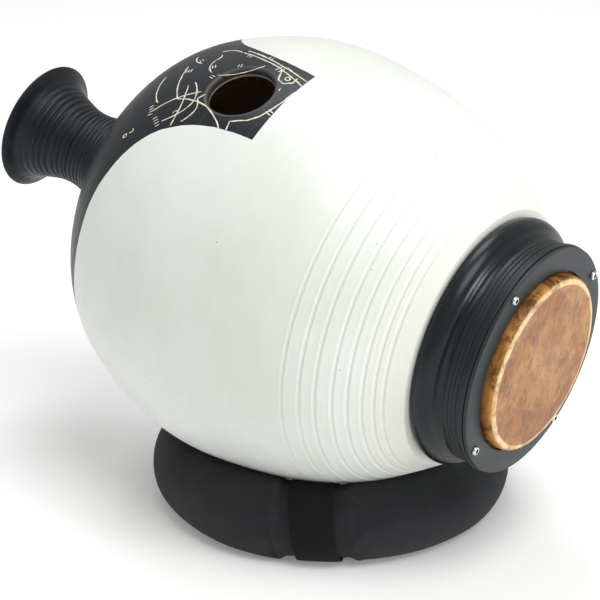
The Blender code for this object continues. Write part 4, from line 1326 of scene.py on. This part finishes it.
def dress_hidden_nodes():
    beech = plain_grain_look("turned_beech", (0.42, 0.26, 0.13), (0.60, 0.42, 0.24), 60.0, 0.55, 0.2 * MM)
    rubber = plain_grain_look(
        "seal_rubber", (0.012, 0.012, 0.012), (0.028, 0.028, 0.028), 90.0, 0.75, 0.1 * MM,
    )
    foam = plain_grain_look("core_foam", (0.16, 0.16, 0.165), (0.28, 0.28, 0.29), 120.0, 0.92, 0.8 * MM)
    looks = {"bearing_ring": beech, "flesh_hoop": beech, "mouth_seal": rubber, "cushion_core": foam}
    brass = metal_look("insert_brass", (0.80, 0.62, 0.28), 0.30)
    for number, _, _ in screw_places():
        looks[f"insert_{number}"] = brass
    for node, material in looks.items():
        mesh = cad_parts[node].data
        mesh.materials.clear()
        mesh.materials.append(material)


def build_floor():
    bm = bmesh.new()
    bmesh.ops.create_grid(bm, x_segments=2, y_segments=2, size=40.0)
    mesh = bpy.data.meshes.new("floor")
    bm.to_mesh(mesh)
    bm.free()
    look = Look("floor_paper", WORLD)
    tone = look.mix(look.noise(3.0, 3.0), (0.88, 0.88, 0.88), (0.90, 0.90, 0.90))
    mesh.materials.append(look.finish(
        Base_Color=tone, Roughness=0.9, Specular_IOR_Level=0.1,
        Emission_Color=(1.0, 1.0, 1.0), Emission_Strength=0.15,
    ))
    floor = bpy.data.objects.new("floor", mesh)
    floor.location.z = -0.1 * MM
    bpy.context.scene.collection.objects.link(floor)


def add_light(name, place, target, size, power, colour):
    light = bpy.data.lights.new(name, "AREA")
    light.shape = "RECTANGLE"
    light.size, light.size_y = size
    light.energy = power
    light.color = colour
    thing = bpy.data.objects.new(name, light)
    bpy.context.scene.collection.objects.link(thing)
    thing.location = place
    way = Vector(target) - Vector(place)
    thing.rotation_euler = way.to_track_quat("-Z", "Y").to_euler()


def build_stage():
    build_floor()
    camera = bpy.data.cameras.new("camera")
    camera.lens = CAMERA_LENS
    camera.sensor_width = SENSOR_WIDTH
    camera.clip_end = 200.0
    thing = bpy.data.objects.new("camera", camera)
    bpy.context.scene.collection.objects.link(thing)
    thing.location = Vector((DRUM_X, 0.0, DRUM_Z)) + CAMERA_AT
    thing.rotation_euler = CAMERA_TURN
    bpy.context.scene.camera = thing
    world = bpy.data.worlds.new("studio")
    world.use_nodes = True
    background = world.node_tree.nodes["Background"]
    background.inputs["Color"].default_value = WORLD_TINT
    background.inputs["Strength"].default_value = WORLD_STRENGTH
    bpy.context.scene.world = world
    bpy.context.scene.view_settings.view_transform = "Standard"
    for light in LIGHTS:
        add_light(*light)


build_belly()
build_drawing()
build_neck()
build_head()
build_skin()
build_screws()
build_cushion()
build_strap()
dress_hidden_nodes()
build_stage()
